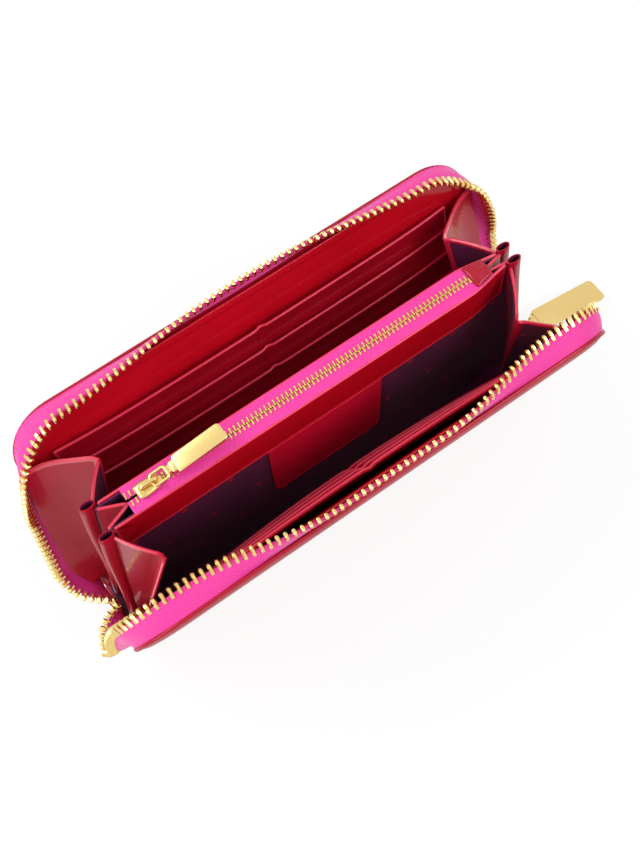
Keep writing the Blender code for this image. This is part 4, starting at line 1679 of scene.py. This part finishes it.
@dataclass
class Gusset:
    """The pair of folding leaves between a cover and the coin pocket at one end."""

    bench: Bench
    side: Side
    end: End
    ridge: RidgeLine = field(default_factory=RidgeLine)
    hinge_u: float = 90.0
    hinge_d: float = 4.6
    foot_v: float = 2.6
    top_v: float = 83.0
    fold_rise: float = 2.0
    fold_foot: float = 2.6
    fold_top: float = 22.9
    angle: float = 39.6 * DEG
    inner_foot: float = 3.4
    inner_top: float = 89.4
    inner_belly: float = 0.8
    outer_short: float = 0.05
    inner_short: float = 0.3
    leather: float = 0.7
    hem: float = 1.9
    hem_bead: float = 0.2
    hem_fade: float = 0.5
    groove: float = 0.12
    groove_out: float = 0.6
    edge_round: float = 0.5
    sewn_edge: float = 0.3
    corner_drop: float = 0.022
    corner_start: float = 0.84
    corner_span: float = 0.16
    border_u: float = 96.0
    border_d: float = 2.35
    border_lead: float = 2.0
    border_span: float = 11.0
    tape_share: dict[End, float] = field(default_factory=lambda: {End.LEFT: 0.64, End.RIGHT: 0.3})
    tape_gap: float = 0.8
    lane_step: float = 0.25
    loop_wall: float = 0.5
    loop_half: float = 1.5
    loop_mouth: float = 14.0
    loop_rim: float = 0.22
    loop_pressed: float = 0.6

    def __post_init__(self) -> None:
        """Set up the cover's plane, the zip beside the leaf and the piece names."""
        self.plane = CoverPlane(self.side)
        self.run = EdgeRun(self.plane)
        stations = self.run.walk(self.run.inset, self.lane_step)
        self.lane = [station for station in stations if station.out_u == self.end.value]
        self.word = f"{self.side.word}_{self.end.word}"

    def build(self) -> None:
        """Make and seat every piece of the gusset."""
        self.build_outer_leaf()
        self.build_inner_leaf()
        self.build_ridge()

    def border_point(self, v: float) -> Vector:
        """A place on the outer leaf's free border, which runs out along the zip tape's inner face."""
        station = min(self.lane, key=lambda place: abs(place.v - v))
        root, along, across, width = self.run.frame(station)
        beside = root + along * (width * self.tape_share[self.end]) - across * self.tape_gap
        beside += self.plane.direction(0.0, v - station.v, 0.0)
        straight = self.plane.point(self.end.value * self.border_u, v, self.border_d)
        foot = min(place.v for place in self.lane)
        return straight.lerp(beside, smooth_step((v - foot + self.border_lead) / self.border_span))

    def hinge_point(self, t: float) -> Vector:
        """A place on the outer leaf's sewn edge."""
        v = self.foot_v + (self.top_v - self.foot_v) * t
        return self.plane.point(self.end.value * self.hinge_u, v, self.hinge_d)

    def fold_point(self, t: float, short: float = 0.0) -> Vector:
        """A place on the inward crease, where the two leaves meet."""
        v = self.foot_v + (self.top_v + self.fold_rise - self.foot_v) * t
        width = self.fold_foot + (self.fold_top - self.fold_foot) * t - short
        u = self.end.value * (self.hinge_u - width * math.cos(self.angle))
        return self.plane.point(u, v, self.hinge_d + width * math.sin(self.angle))

    def half_thickness(self, width_at: Callable[[float], float]) -> Callable[[float, float], float]:
        """Half the leaf's thickness, with a hem on the crease and the top.

        Args:
            width_at: The leaf's width at a share of its height.

        Returns:
            A function of the two shares.
        """
        height = self.top_v - self.foot_v

        def half(s: float, t: float) -> float:
            """Half the thickness at a place."""
            width = width_at(t)
            hemmed = min((1 - t) * height, (1 - s) * width)
            nearest = min(hemmed, s * width + self.sewn_edge, t * height)
            bead = self.hem_bead * (1 - smooth_step((hemmed - self.hem) / self.hem_fade))
            beside = abs(hemmed - self.hem - self.groove_out)
            groove = self.groove * max(0.0, 1 - beside / self.hem_fade)
            return (self.leather / 2 + bead - groove) * cap_share(nearest, self.edge_round)

        return half

    def leaf(self, name: str, middle: Callable[[float, float], Vector], turned: int) -> Item:
        """Make one leaf from its sewn edge to its crease: red outside, satin inside, with a red hem and
        edges whose brighter red is a painted highlight.

        Args:
            name: The piece's name.
            middle: Its middle surface, over shares from the sewn edge and from the foot.
            turned: 1 if the front of the rear right leaf looks into its compartment, otherwise -1.

        Returns:
            The leaf.
        """
        half = self.half_thickness(lambda t: (middle(1.0, t) - middle(0.0, t)).length)

        def eased(s: float, t: float) -> Vector:
            """The middle surface with its top corner at the crease rounded off."""
            corner = smooth_step((s - self.corner_start) / self.corner_span) ** 2
            return middle(s, t * (1.0 - self.corner_drop * corner))

        mesh = leaf_mesh(name, eased, LEAF_ACROSS, LEAF_UPWARD, half, LEAF_HEM)
        inside_first = turned * self.side.value * self.end.value > 0
        faces = (Finish.SATIN, Finish.PATENT) if inside_first else (Finish.PATENT, Finish.SATIN)
        return self.bench.piece(mesh, (*faces, Finish.EDGE))

    def build_outer_leaf(self) -> None:
        """The leaf that leaves the cover's border and bends in to the crease."""
        bend_start, bend_end = 0.1, 0.45

        def middle(s: float, t: float) -> Vector:
            """A place on the outer leaf, on a curve through the hinge line."""
            border = self.border_point(self.foot_v + (self.top_v - self.foot_v) * t)
            hinge = self.hinge_point(t)
            crease = self.fold_point(t, self.outer_short)
            early = border.lerp(hinge, 0.35)
            late = hinge.lerp(crease, 0.32)
            if s < bend_start:
                return border.lerp(early, s / bend_start)
            if s < bend_end:
                share = (s - bend_start) / (bend_end - bend_start)
                return early * (1 - share) ** 2 + hinge * (2 * share * (1 - share)) + late * share ** 2
            return late.lerp(crease, (s - bend_end) / (1.0 - bend_end))

        item = self.leaf(f"{self.word}_outer_leaf", middle, 1)
        bent = tuple(self.plane.point(self.end.value * (self.hinge_u + reach), 45.0, self.hinge_d)
                     for reach in (3.0, -2.5))
        self.bench.bend(item, (self.side.body, f"{self.word}_outer_panel"), bent, Slot.PATENT,
                        f"{self.word}_outer_gusset", f"{self.word}_gusset_flange")

    def build_inner_leaf(self) -> None:
        """The leaf sewn to the coin pocket's ridge."""

        def middle(s: float, t: float) -> Vector:
            """A place on the inner leaf, which bellies out a little."""
            z = self.inner_foot + (self.inner_top - self.inner_foot) * t
            seam = self.ridge.point(self.end, self.side.value, z)
            crease = self.fold_point(t)
            stop = crease + (seam - crease).normalized() * self.inner_short
            belly = self.inner_belly * math.sin(math.pi * s) * t
            return seam.lerp(stop, s) + Vector((self.end.value * belly, 0.0, 0.0))

        item = self.leaf(f"{self.word}_inner_leaf", middle, -1)
        self.bench.seat(item, f"{self.word}_inner_panel", Slot.PATENT, f"{self.word}_inner_gusset")

    def loop(self, z: float, shrink: float) -> list[Vector]:
        """A section of the flattened ridge loop at a height, which stands out further at the top."""
        reach = 2.0 + 2.2 * smooth_step((z - 20.0) / 65.0)
        centre = self.ridge.point(self.end, self.side.value, z)
        ring = []
        for k in range(LOOP_SIDES):
            angle = 2 * math.pi * k / LOOP_SIDES
            wide = (reach / 2 + 0.8 - shrink) * math.cos(angle)
            deep = (self.loop_half - shrink) * math.sin(angle)
            ring.append(centre + Vector((self.end.value * (reach / 2 - 0.3 + wide), deep, 0.0)))
        return ring

    def build_ridge(self) -> None:
        """The ridge, a hide edge folded into a loop that opens at its top."""
        low, high = self.ridge.foot_z, self.ridge.top_z
        outer = [self.loop(low + (high - low) * k / LOOP_ROWS, 0.0) for k in range(LOOP_ROWS + 1)]
        inner = [self.loop(high - self.loop_mouth * k / MOUTH_ROWS, self.loop_wall)
                 for k in range(MOUTH_ROWS + 1)]
        rim = [(a + b) / 2 + Vector((0.0, 0.0, self.loop_rim)) for a, b in zip(outer[-1], inner[0])]
        shape = Shape()
        start = shape.grid([*outer, rim], 0, wrap=True)
        shape.cap(start, LOOP_SIDES, 0)
        shape.grid([rim, inner[0]], 0, wrap=True)
        start = shape.grid(inner, 1, wrap=True)
        shape.cap(start + MOUTH_ROWS * LOOP_SIDES, LOOP_SIDES, 1)
        mesh = shape.mesh(f"{self.word}_ridge_loop", 50.0)
        item = self.bench.fit(mesh, (Finish.PATENT, Finish.SATIN), CORE, Slot.PATENT,
                              f"{self.word}_gusset_ridge")
        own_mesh(item)


# The coin pocket in the middle.


@dataclass
class CoinPocket:
    """Walls, red bands, bare patch and end folds of the middle pocket."""

    bench: Bench
    repeater: Repeater
    ridge: RidgeLine = field(default_factory=RidgeLine)
    half_depth: float = 4.2
    wall: float = 0.7
    wall_tuck: float = 2.6
    foot: float = 2.5
    top: float = 90.5
    band_height: float = 18.0
    band_rise: float = 0.75
    band_inset: float = 1.4
    band_y: float = 5.425
    band_cord: float = 0.55
    band: float = 0.45
    patch_x: float = 1.0
    patch_length: float = 49.0
    patch_height: float = 40.0
    patch_gap: float = 0.3
    fold_reach: float = 10.0
    fold_foot_reach: float = 3.0
    fold_foot: float = 6.0
    fold_skin: float = 0.7
    stitch_pitch: float = 2.4
    stitch_inset: float = 1.1
    stitch_turn: float = 3.0

    def build(self) -> None:
        """Make and seat every piece of the coin pocket."""
        for side in Side:
            self.build_wall(side)
            self.build_band(side)
        self.build_patch()
        for end in End:
            self.build_end_fold(end)
        self.build_stitches()

    def upright(self, side: Side, y: float) -> Place:
        """Places on a standing sheet that faces away from the pocket, at a distance from its middle."""
        sign = side.value
        return lambda x, z, h: Vector((-sign * x, sign * (y * self.ridge.pinch(-sign * x, z) + h), z))

    def build_wall(self, side: Side) -> None:
        """A lining wall, wider at its foot, whose lower ends tuck in behind the gusset."""
        half_foot, half_top = self.ridge.x_at(self.foot), self.ridge.x_at(self.top)
        outline = spread([(-half_foot, self.foot), (half_foot, self.foot), (half_top, self.top),
                          (-half_top, self.top)], 6.0)
        sheet = self.upright(side, self.half_depth + self.wall / 2)

        def place(x: float, z: float, h: float) -> Vector:
            """A place on the wall."""
            behind = smooth_step((self.ridge.x_at(z) - abs(x) + 0.3) / 3.2)
            behind *= smooth_step((abs(x) - 68.0) / 11.0)
            tuck = self.wall_tuck * behind * (1.0 - smooth_step((z - 8.0) / 40.0))
            return sheet(x, z, h - tuck)

        mesh = panel_mesh(f"coin_{side.word}_satin_wall", outline, EdgeProfile.rolled(self.wall), place)
        self.bench.fit(mesh, (Finish.SATIN,), CORE, Slot.LINING, f"coin_pocket_{side.word}_wall")

    def build_band(self, side: Side) -> None:
        """The red band along the top of a wall, with a turned foot."""
        half = self.ridge.x_at(self.top) - self.band_inset
        top = self.top + self.band_rise
        outline = spread(rounded_box(-half, half, self.top - self.band_height, top, (1.0,) * 4, 4), 5.0)
        profile = EdgeProfile.corded(self.band, self.band_cord)
        mesh = panel_mesh(f"coin_{side.word}_top_band", outline, profile, self.upright(side, self.band_y),
                          rim_slot=1, rim_rows=CORD_ROWS)
        # The band's corded rim takes the brighter red with a painted highlight.
        self.bench.fit(mesh, (Finish.HIDE, Finish.EDGE), CORE, Slot.LEATHER,
                       f"coin_pocket_{side.word}_band")

    def build_patch(self) -> None:
        """The bare patch below the front band."""
        top = self.top - self.band_height - self.patch_gap
        half = self.patch_length / 2
        outline = spread(rounded_box(self.patch_x - half, self.patch_x + half, top - self.patch_height, top,
                                     (4.0, 1.0, 1.0, 4.0), 6), 4.0)
        profile = EdgeProfile.rolled(self.band, hem=1.8, bead=0.12, crown=0.2)
        mesh = panel_mesh("coin_bare_patch", outline, profile, self.upright(Side.FRONT, self.band_y))
        # The patch takes the brightened red with painted light.
        self.bench.fit(mesh, (Finish.PATCH,), CORE, Slot.LEATHER, "coin_pocket_patch")

    def build_end_fold(self, end: End) -> None:
        """The V fold that closes one end of the pocket: red outside and satin inside."""
        half_y = self.half_depth - 0.3

        def middle(s: float, t: float) -> Vector:
            """A place on the folded sheet."""
            side = 2 * s - 1
            bend = 1 - math.sqrt(side * side + 0.01)
            reach = self.fold_foot_reach + (self.fold_reach - self.fold_foot_reach) * t
            z = self.fold_foot + (self.top - self.fold_foot) * t - bend * t
            x = end.value * (self.ridge.x_at(z) - self.fold_skin * 0.7 - reach * bend)
            return Vector((x, side * half_y * self.ridge.pinch(x, z), z))

        across = [k / 24 for k in range(25)]
        upward = [k / 20 for k in range(20)] + [0.965, 0.98, 0.99, 1.0]

        def half(s: float, t: float) -> float:
            """Half the thickness at a place, with a hem on the top."""
            down = (1 - t) * (self.top - self.fold_foot)
            return 0.3 + 0.22 * (1 - smooth_step((down - 1.2) / 0.5))

        mesh = leaf_mesh(f"{end.word}_coin_fold", middle, across, upward, half)
        faces = (Finish.PATENT, Finish.SATIN) if end is End.RIGHT else (Finish.SATIN, Finish.PATENT)
        # The fold's hem and edges take the brighter red with a painted highlight.
        self.bench.fit(mesh, (*faces, Finish.EDGE), CORE, Slot.LINING, f"{end.word}_coin_gusset")

    def build_stitches(self) -> None:
        """Thread along the feet of the bands and round the patch."""
        paths = []
        half = self.ridge.x_at(self.top) - 3.2
        line = self.top - self.band_height + 1.2
        upward = Vector((0, 0, 1))
        for side in Side:
            row = []
            for k in range(25):
                x = half * (k / 12 - 1.0)
                y = self.band_y * self.ridge.pinch(x, line) + self.band / 2 + 0.2
                outward = Vector((0, side.value, 0))
                row.append(PathStation(Vector((x, side.value * y, line)), upward, outward))
            paths.append(row)
        paths.append(self.patch_border())
        item = self.repeater.along("coin_stitching", paths, stitch_mesh("fine_stitch", 1.7, 0.15),
                                   self.stitch_pitch, Finish.THREAD)
        self.bench.seat(item, CORE, Slot.LEATHER)

    def patch_border(self) -> list[PathStation]:
        """The line of thread down one side of the patch, along its foot and up the other."""
        top = self.top - self.band_height - self.patch_gap
        reach = self.patch_length / 2 - self.stitch_inset
        y = -(self.band_y + self.band / 2 + 0.17)
        turn = self.stitch_turn
        level = top - self.patch_height + self.stitch_inset + turn
        left, right = self.patch_x - reach, self.patch_x + reach
        corners = arc_points((left + turn, level), turn, math.pi, 3 * RIGHT_ANGLE, 6)
        corners += arc_points((right - turn, level), turn, 3 * RIGHT_ANGLE, 2 * math.pi, 6)
        border = [(left, top - 1.0), *corners, (right, top - 1.0)]
        return [PathStation(Vector((x, y, z)), Vector((x - self.patch_x, 0, z - top + 20.0)).normalized(),
                            Vector((0, -1, 0))) for x, z in border]


@dataclass
class CoinZip:
    """Tapes, meshed teeth and the leather end tab across the coin pocket's mouth."""

    bench: Bench
    repeater: Repeater
    level: float = 91.4
    start_x: float = -70.0
    end_x: float = 67.0
    tab_gap: float = 0.3
    tab_length: float = 8.0
    tab_half: float = 5.0
    tab: float = 0.6
    ridge: RidgeLine = field(default_factory=RidgeLine)
    tape: float = 0.5
    tape_lead: float = 3.5
    tape_steps: int = 74
    tape_profile: tuple[Flat, ...] = ((0.5, 0.0), (1.4, 0.02), (2.2, 0.05), (3.2, 0.02), (4.3, -0.1),
                                      (5.0, -0.24), (5.45, -0.45))
    pitch: float = 1.75
    teeth_run: int = 140
    teeth_lead: float = 3.0
    teeth_y: float = 1.15
    teeth_parting: float = 0.9

    def build(self) -> None:
        """Make and seat every piece of the coin zip."""
        for side in Side:
            self.build_tape(side)
            self.build_teeth(side)
        self.build_tab()

    def build_tape(self, side: Side) -> None:
        """One tape, from the teeth out over the wall's top."""
        first = self.start_x - self.tape_lead
        last = self.end_x + self.tab_gap + self.tab_length
        half = Vector((0, 0, self.tape / 2))
        upper, lower, flats = [], [], []
        for k in range(self.tape_steps + 1):
            x = first + (last - first) * k / self.tape_steps
            wave = 0.12 * math.sin(x * 0.33 + side.value)
            for rows in (upper, lower, flats):
                rows.append([])
            for y, drop in self.tape_profile:
                slack = wave * max(0.0, (y - 2.2) / 4.0)
                reach = side.value * y * self.ridge.pinch(x, self.level)
                point = Vector((x, reach, self.level + drop + slack))
                upper[-1].append(point + half)
                lower[-1].append(point - half)
                flats[-1].append((x, y))
        mesh = strip_mesh(f"coin_{side.word}_tape", upper, lower, flats)
        self.bench.fit(mesh, (Finish.CLOTH,), CORE, Slot.TAPE, f"coin_zip_{side.word}_tape")

    def build_teeth(self, side: Side) -> None:
        """One row of teeth, meshed with the other and parting at its open end."""
        tooth = ToothShape(reach=1.6, width=0.85, height=1.5, leg=0.75, grip=0.28)
        first = self.start_x - self.teeth_lead + (0.0 if side is Side.REAR else self.pitch / 2)
        stations = []
        for k in range(self.teeth_run):
            x = first + k
            part = self.teeth_parting * smooth_step((self.start_x + 4.0 - x) / 5.0)
            stations.append(PathStation(Vector((x, side.value * (self.teeth_y + part), self.level)),
                                        Vector((0, -side.value, 0)), Vector((0, 0, 1))))
        item = self.repeater.along(f"coin_{side.word}_teeth", (stations,), tooth.mesh("coin_tooth"),
                                   self.pitch, Finish.METAL)
        self.bench.seat(item, CORE, Slot.METAL, f"coin_zip_{side.word}_teeth")

    def build_tab(self) -> None:
        """The puckered leather tab at the closed end."""
        first = self.end_x + self.tab_gap
        box = rounded_box(first, first + self.tab_length, -self.tab_half, self.tab_half,
                          (1.4, 0.8, 0.8, 1.4), 4)
        level = self.level + self.tape / 2 + 0.35

        def place(x: float, y: float, h: float) -> Vector:
            """A place on the puckered tab."""
            along = (x - first) / self.tab_length
            hump = 1.3 * (1.0 - (y / 5.2) ** 2) * math.sin(math.pi * min(max(along, 0.0), 1.0)) ** 0.7
            pucker = 0.22 * math.cos(y * 1.5) * along
            return Vector((x, y * self.ridge.pinch(x, level), level + h + hump + pucker - 0.018 * y * y))

        profile = EdgeProfile.rolled(self.tab, hem=1.2, bead=0.2)
        mesh = panel_mesh("coin_end_tab", spread(box, 1.2), profile, place)
        self.bench.fit(mesh, (Finish.PATENT,), CORE, Slot.LEATHER, "coin_zip_end_tab")


# Sliders, links and pulls.


@dataclass(frozen=True)
class ZipHardware:
    """Sizes and places of one slider with its link and pull."""

    word: str
    body: str
    origin: Vector
    ahead: Vector
    outward: Vector
    size: float
    tooth_height: float
    link_angle: float
    pull_length: float
    pull_width: float
    pull_thickness: float


PLATE_PROFILE = ((0.9, 0.0), (0.25, 0.0), (0.0, 0.25), (0.0, 0.5), (0.4, 0.8), (1.2, 1.05), (2.2, 1.15))
PULL_PROFILE = ((0.45, -1.0), (0.2, -0.93), (0.0, -0.7), (0.0, 0.7), (0.2, 0.93), (0.45, 1.0))


@dataclass
class SliderSet:
    """A slider with its bail, its wire link and its plain pull."""

    bench: Bench
    hardware: ZipHardware
    length: float = 10.0
    width: float = 6.4
    plate: float = 0.8
    gap: float = 0.35
    rise: float = 1.9
    wire: float = 0.45
    bail_span: float = 6.4
    link_length: float = 6.0
    link_width: float = 4.4
    link_offset: float = 1.2

    def __post_init__(self) -> None:
        """Work out the frames of the slider, the link and the pull."""
        kit = self.hardware
        side = kit.outward.cross(kit.ahead)
        self.frame = Matrix((kit.ahead, side, kit.outward)).transposed()
        self.inner = kit.tooth_height / 2 + self.gap
        self.top = self.inner + self.plate * kit.size
        self.link_height = self.top + self.rise * kit.size / 2 - self.wire * kit.size * 0.3

    def place(self, x: float, y: float, z: float) -> Vector:
        """A point of the slider's own frame in the wallet's."""
        return self.hardware.origin + self.frame @ Vector((x, y, z))

    def lifted(self, x: float, y: float, z: float) -> Vector:
        """A point of the link's frame, which leans up from the teeth, in the wallet's."""
        angle = self.hardware.link_angle
        cos, sin = math.cos(angle), math.sin(angle)
        start = self.link_offset * self.hardware.size
        return self.place(start + x * cos - z * sin, y, self.link_height + x * sin + z * cos)

    def build(self) -> None:
        """Make and seat the slider, the link and the pull."""
        self.build_slider()
        self.build_link()
        self.build_pull()

    def plate_outline(self) -> list[Flat]:
        """A slider plate's outline, wide at its mouth and narrow where the teeth leave."""
        size = self.hardware.size
        outline = []
        for k in range(40):
            angle = 2 * math.pi * k / 40
            cos, sin = math.cos(angle), math.sin(angle)
            x = math.copysign(abs(cos) ** 0.62, cos)
            narrow = 1.0 - 0.2 * (x + 1.0)
            y = math.copysign(abs(sin) ** 0.72, sin) * narrow
            outline.append((x * self.length * size / 2, y * self.width * size / 2))
        return outline

    def build_slider(self) -> None:
        """Two plates on a web, with side rails and a bail over the link."""
        size = self.hardware.size
        shape = Shape()
        self.add_plates(shape)
        half_web = self.length * size * 0.4
        corners = rounded_box(-half_web, half_web, -0.3 * size, 0.3 * size, (0.2,) * 4, 2)
        deep = self.inner + 0.2
        shape.loft([[self.place(x, y, z) for x, y in corners] for z in (-deep, deep)])
        outline = [(x, y) for x, y in self.plate_outline() if abs(y) > self.width * size * 0.22]
        for sign in (1, -1):
            for edge in (1, -1):
                height = sign * (self.inner + 0.1)
                rail = [self.place(x, y * 0.97, height) for x, y in outline if y * edge > 0]
                shape.loft(tube_rings(rail, 0.28 * size, 8))
        reach, rise = self.bail_span * size / 2, self.rise * size
        corners = [self.place(-reach, 0, self.top - 0.3), self.place(-reach, 0, self.top + rise),
                   self.place(reach, 0, self.top + rise), self.place(reach, 0, self.top - 0.3)]
        path = rounded_path(corners, 1.3 * size)
        shape.loft(tube_rings(path, self.wire * size * 1.5, 10, squash=0.62))
        self.fit(shape.mesh(f"{self.hardware.word}_slider_body", 35.0), "slider")

    def add_plates(self, shape: Shape) -> None:
        """Add the slider's two domed plates to its shape."""
        thick = self.plate * self.hardware.size
        outline = self.plate_outline()
        for sign in (1, -1):
            rings = []
            for shrink, lift in PLATE_PROFILE:
                height = sign * (self.inner + thick * lift)
                rings.append([self.place(x, y, height) for x, y in inset(outline, shrink * thick * 0.6)])
            shape.loft(rings)

    def fit(self, mesh: Mesh, part: str) -> None:
        """Make a metal part and seat it on its own body."""
        self.bench.fit(mesh, (Finish.METAL,), f"{self.hardware.body}_{part}", Slot.METAL,
                       f"{self.hardware.word}_{part}")

    def build_link(self) -> None:
        """The bent wire loop between the bail and the pull."""
        size = self.hardware.size
        half, length = self.link_width * size / 2, self.link_length * size
        corners = ((0, -half), (length, -half), (length, half), (0, half))
        path = rounded_path([self.lifted(x, y, 0) for x, y in corners], 1.2 * size, closed=True)
        shape = Shape()
        shape.loft(tube_rings(path, self.wire * size * 1.25, 10, closed=True), closed=True)
        self.fit(shape.mesh(f"{self.hardware.word}_wire_link", 60.0), "link")

    def build_pull(self) -> None:
        """A flat bar with soft corners and a stepped shoulder, on a narrow knuckle."""
        kit = self.hardware
        size = kit.size
        start = self.link_length * size
        neck = self.link_width * size / 2 - self.wire * size - 0.3
        first = 1.5 * size
        half = kit.pull_width / 2
        thick = kit.pull_thickness * size / 2
        soft = 1.4 * size
        shape = Shape()
        barrel = [self.lifted(start, y, 0) for y in (-neck, -neck * 0.9, neck * 0.9, neck)]
        rings = tube_rings(barrel, self.wire * size + 0.55, 16)
        for index in (0, -1):
            middle = barrel[index]
            rings[index] = [middle + (point - middle) * 0.86 for point in rings[index]]
        shape.loft(rings)
        waist = rounded_box(0.0, first + 1.2, -neck * 0.9, neck * 0.9, (0.3,) * 4, 2)
        shape.loft([[self.lifted(start + x, y, z) for x, y in waist] for z in (-thick * 0.8, thick * 0.8)])
        bar = rounded_box(first + 1.7 * size, first + kit.pull_length, -half, half,
                          (0.9, soft, soft, 0.9), 6)
        shoulder = rounded_box(first, first + 2.6 * size, -half * 0.62, half * 0.62, (0.5,) * 4, 4)
        for outline, share in ((bar, 1.0), (shoulder, 0.86)):
            dense = spread(outline, 4.0)
            shape.loft([[self.lifted(start + x, y, height * thick * share) for x, y in inset(dense, amount)]
                        for amount, height in PULL_PROFILE])
        self.fit(shape.mesh(f"{kit.word}_flat_pull", 28.0), "pull")


# The studio.


@dataclass
class Studio:
    """A white floor, soft lamps and the camera at the photograph's angle."""

    azimuth: float = -30.37 * DEG
    elevation: float = 66.76 * DEG
    roll: float = -5.19 * DEG
    distance: float = 640.99
    target: Vector = field(default_factory=lambda: Vector((48.34, 79.85, -165.19)))
    lens: float = 45.98
    sensor: float = 36.0
    floor_glow: float = 0.82
    world_strength: float = 0.7

    def build(self) -> None:
        """Set up floor, world, lamps and camera."""
        self.build_floor()
        self.build_world()
        middle = Vector((0.0, 0.0, 0.04))
        self.build_lamp("overhead_softbox", Vector((-0.55, 0.55, 0.75)), middle, (0.7, 0.5), 6.0)
        self.build_lamp("front_softbox", Vector((0.45, -0.60, 0.80)), middle, (0.6, 0.5), 5.0)
        left = Vector((-0.08, 0.0, 0.05))
        self.build_lamp("left_strip", Vector((-0.85, -0.25, 0.45)), left, (0.2, 0.8), 3.0)
        self.build_camera()

    @staticmethod
    def blend(sheet: NodeSheet, share: Socket, first: Node, second: Node,
              output: Node) -> None:
        """Mix two shaders into an output.

        Args:
            sheet: The tree.
            share: The second shader's share.
            first: The first shader.
            second: The second shader.
            output: The tree's output.
        """
        both = sheet.add("ShaderNodeMixShader")
        for index, socket in enumerate((share, first.outputs[0], second.outputs[0])):
            sheet.join(socket, both.inputs[index])
        sheet.join(both.outputs[0], output.inputs["Surface"])

    def build_floor(self) -> None:
        """A broad pale floor that reads as white paper and keeps a soft shadow."""
        mesh = bpy.data.meshes.new("paper_floor")
        reach, level = 3.0, -0.0004
        corners = ((-reach, -reach), (reach, -reach), (reach, reach), (-reach, reach))
        mesh.from_pydata([(x, y, level) for x, y in corners], [], [(0, 1, 2, 3)])
        floor = show("paper_floor", mesh)
        material = bpy.data.materials.new("white_paper")
        material.use_nodes = True
        sheet = NodeSheet(material.node_tree)
        paper = sheet.find("BSDF_PRINCIPLED")
        paper.inputs["Base Color"].default_value = (0.86, 0.86, 0.86, 1.0)
        paper.inputs["Roughness"].default_value = 0.9
        share = sheet.math("MULTIPLY", sheet.looked_at(), self.floor_glow)
        self.blend(sheet, share, paper, sheet.add("ShaderNodeEmission"), sheet.find("OUTPUT_MATERIAL"))
        mesh.materials.append(material)

    def build_world(self) -> None:
        """White surroundings, plain for the camera and softer as light."""
        world = bpy.data.worlds.new("white_studio")
        bpy.context.scene.world = world
        world.use_nodes = True
        sheet = NodeSheet(world.node_tree)
        soft = sheet.find("BACKGROUND")
        bright = sheet.add("ShaderNodeBackground")
        for shader in (soft, bright):
            shader.inputs["Color"].default_value = (1.0, 1.0, 1.0, 1.0)
        soft.inputs["Strength"].default_value = self.world_strength
        self.blend(sheet, sheet.looked_at(), soft, bright, sheet.find("OUTPUT_WORLD"))

    @staticmethod
    def build_lamp(name: str, place: Vector, aim: Vector, size: Flat, power: float) -> None:
        """Add a softbox.

        Args:
            name: The lamp's name.
            place: Where it hangs, in metres.
            aim: What it points at, in metres.
            size: Its width and height in metres.
            power: Its power in watts.
        """
        lamp = bpy.data.lights.new(name, "AREA")
        lamp.shape = "RECTANGLE"
        lamp.size, lamp.size_y = size
        lamp.energy = power
        item = show(name, lamp)
        item.location = place
        item.rotation_euler = (aim - place).to_track_quat("-Z", "Y").to_euler()

    def build_camera(self) -> None:
        """Add the camera where the photograph was taken from."""
        cos = math.cos(self.elevation)
        back = Vector((math.sin(self.azimuth) * cos, -math.cos(self.azimuth) * cos,
                       math.sin(self.elevation)))
        right = (-back).cross(Vector((0, 0, 1))).normalized()
        upward = right.cross(-back)
        turned_right = right * math.cos(self.roll) + upward * math.sin(self.roll)
        turned_up = upward * math.cos(self.roll) - right * math.sin(self.roll)
        lens = bpy.data.cameras.new("photo_camera")
        lens.sensor_fit = "VERTICAL"
        lens.sensor_height = self.sensor
        lens.lens = self.lens
        lens.clip_start = 0.01
        lens.clip_end = 20.0
        camera = show("photo_camera", lens)
        turn = Matrix((turned_right, turned_up, back)).transposed().to_4x4()
        camera.matrix_world = Matrix.Translation((self.target + back * self.distance) * MM) @ turn
        bpy.context.scene.camera = camera


COIN_HARDWARE = ZipHardware("coin_zip", "coin", Vector((-64.5, 0.0, 91.4)), ahead=Vector((1, 0, 0)),
                            outward=Vector((0, 0, 1)), size=1.0, tooth_height=1.5, link_angle=8.0 * DEG,
                            pull_length=21.0, pull_width=6.5, pull_thickness=1.4)
MAIN_HARDWARE = ZipHardware("main_zip", "main", Vector((96.9, 0.0, 15.6)), ahead=Vector((0, 0, -1)),
                            outward=Vector((1, 0, 0)), size=1.4, tooth_height=2.0, link_angle=76.0 * DEG,
                            pull_length=39.0, pull_width=10.5, pull_thickness=2.0)


def main() -> None:
    """Load the frame, dress it and set up the studio."""
    logging.basicConfig(level=logging.INFO, format="%(message)s")
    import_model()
    bpy.context.scene.view_settings.view_transform = "Standard"
    Studio().build()
    bench = Bench(FinishShelf())
    repeater = Repeater(bench)
    Spine(bench).build()
    for side in Side:
        Cover(bench, repeater, side).build()
        for end in End:
            Gusset(bench, side, end).build()
    CoinPocket(bench, repeater).build()
    CoinZip(bench, repeater).build()
    for hardware in (COIN_HARDWARE, MAIN_HARDWARE):
        SliderSet(bench, hardware).build()
    LOG.info("%d pieces", bench.count)


if __name__ == "__main__":
    main()
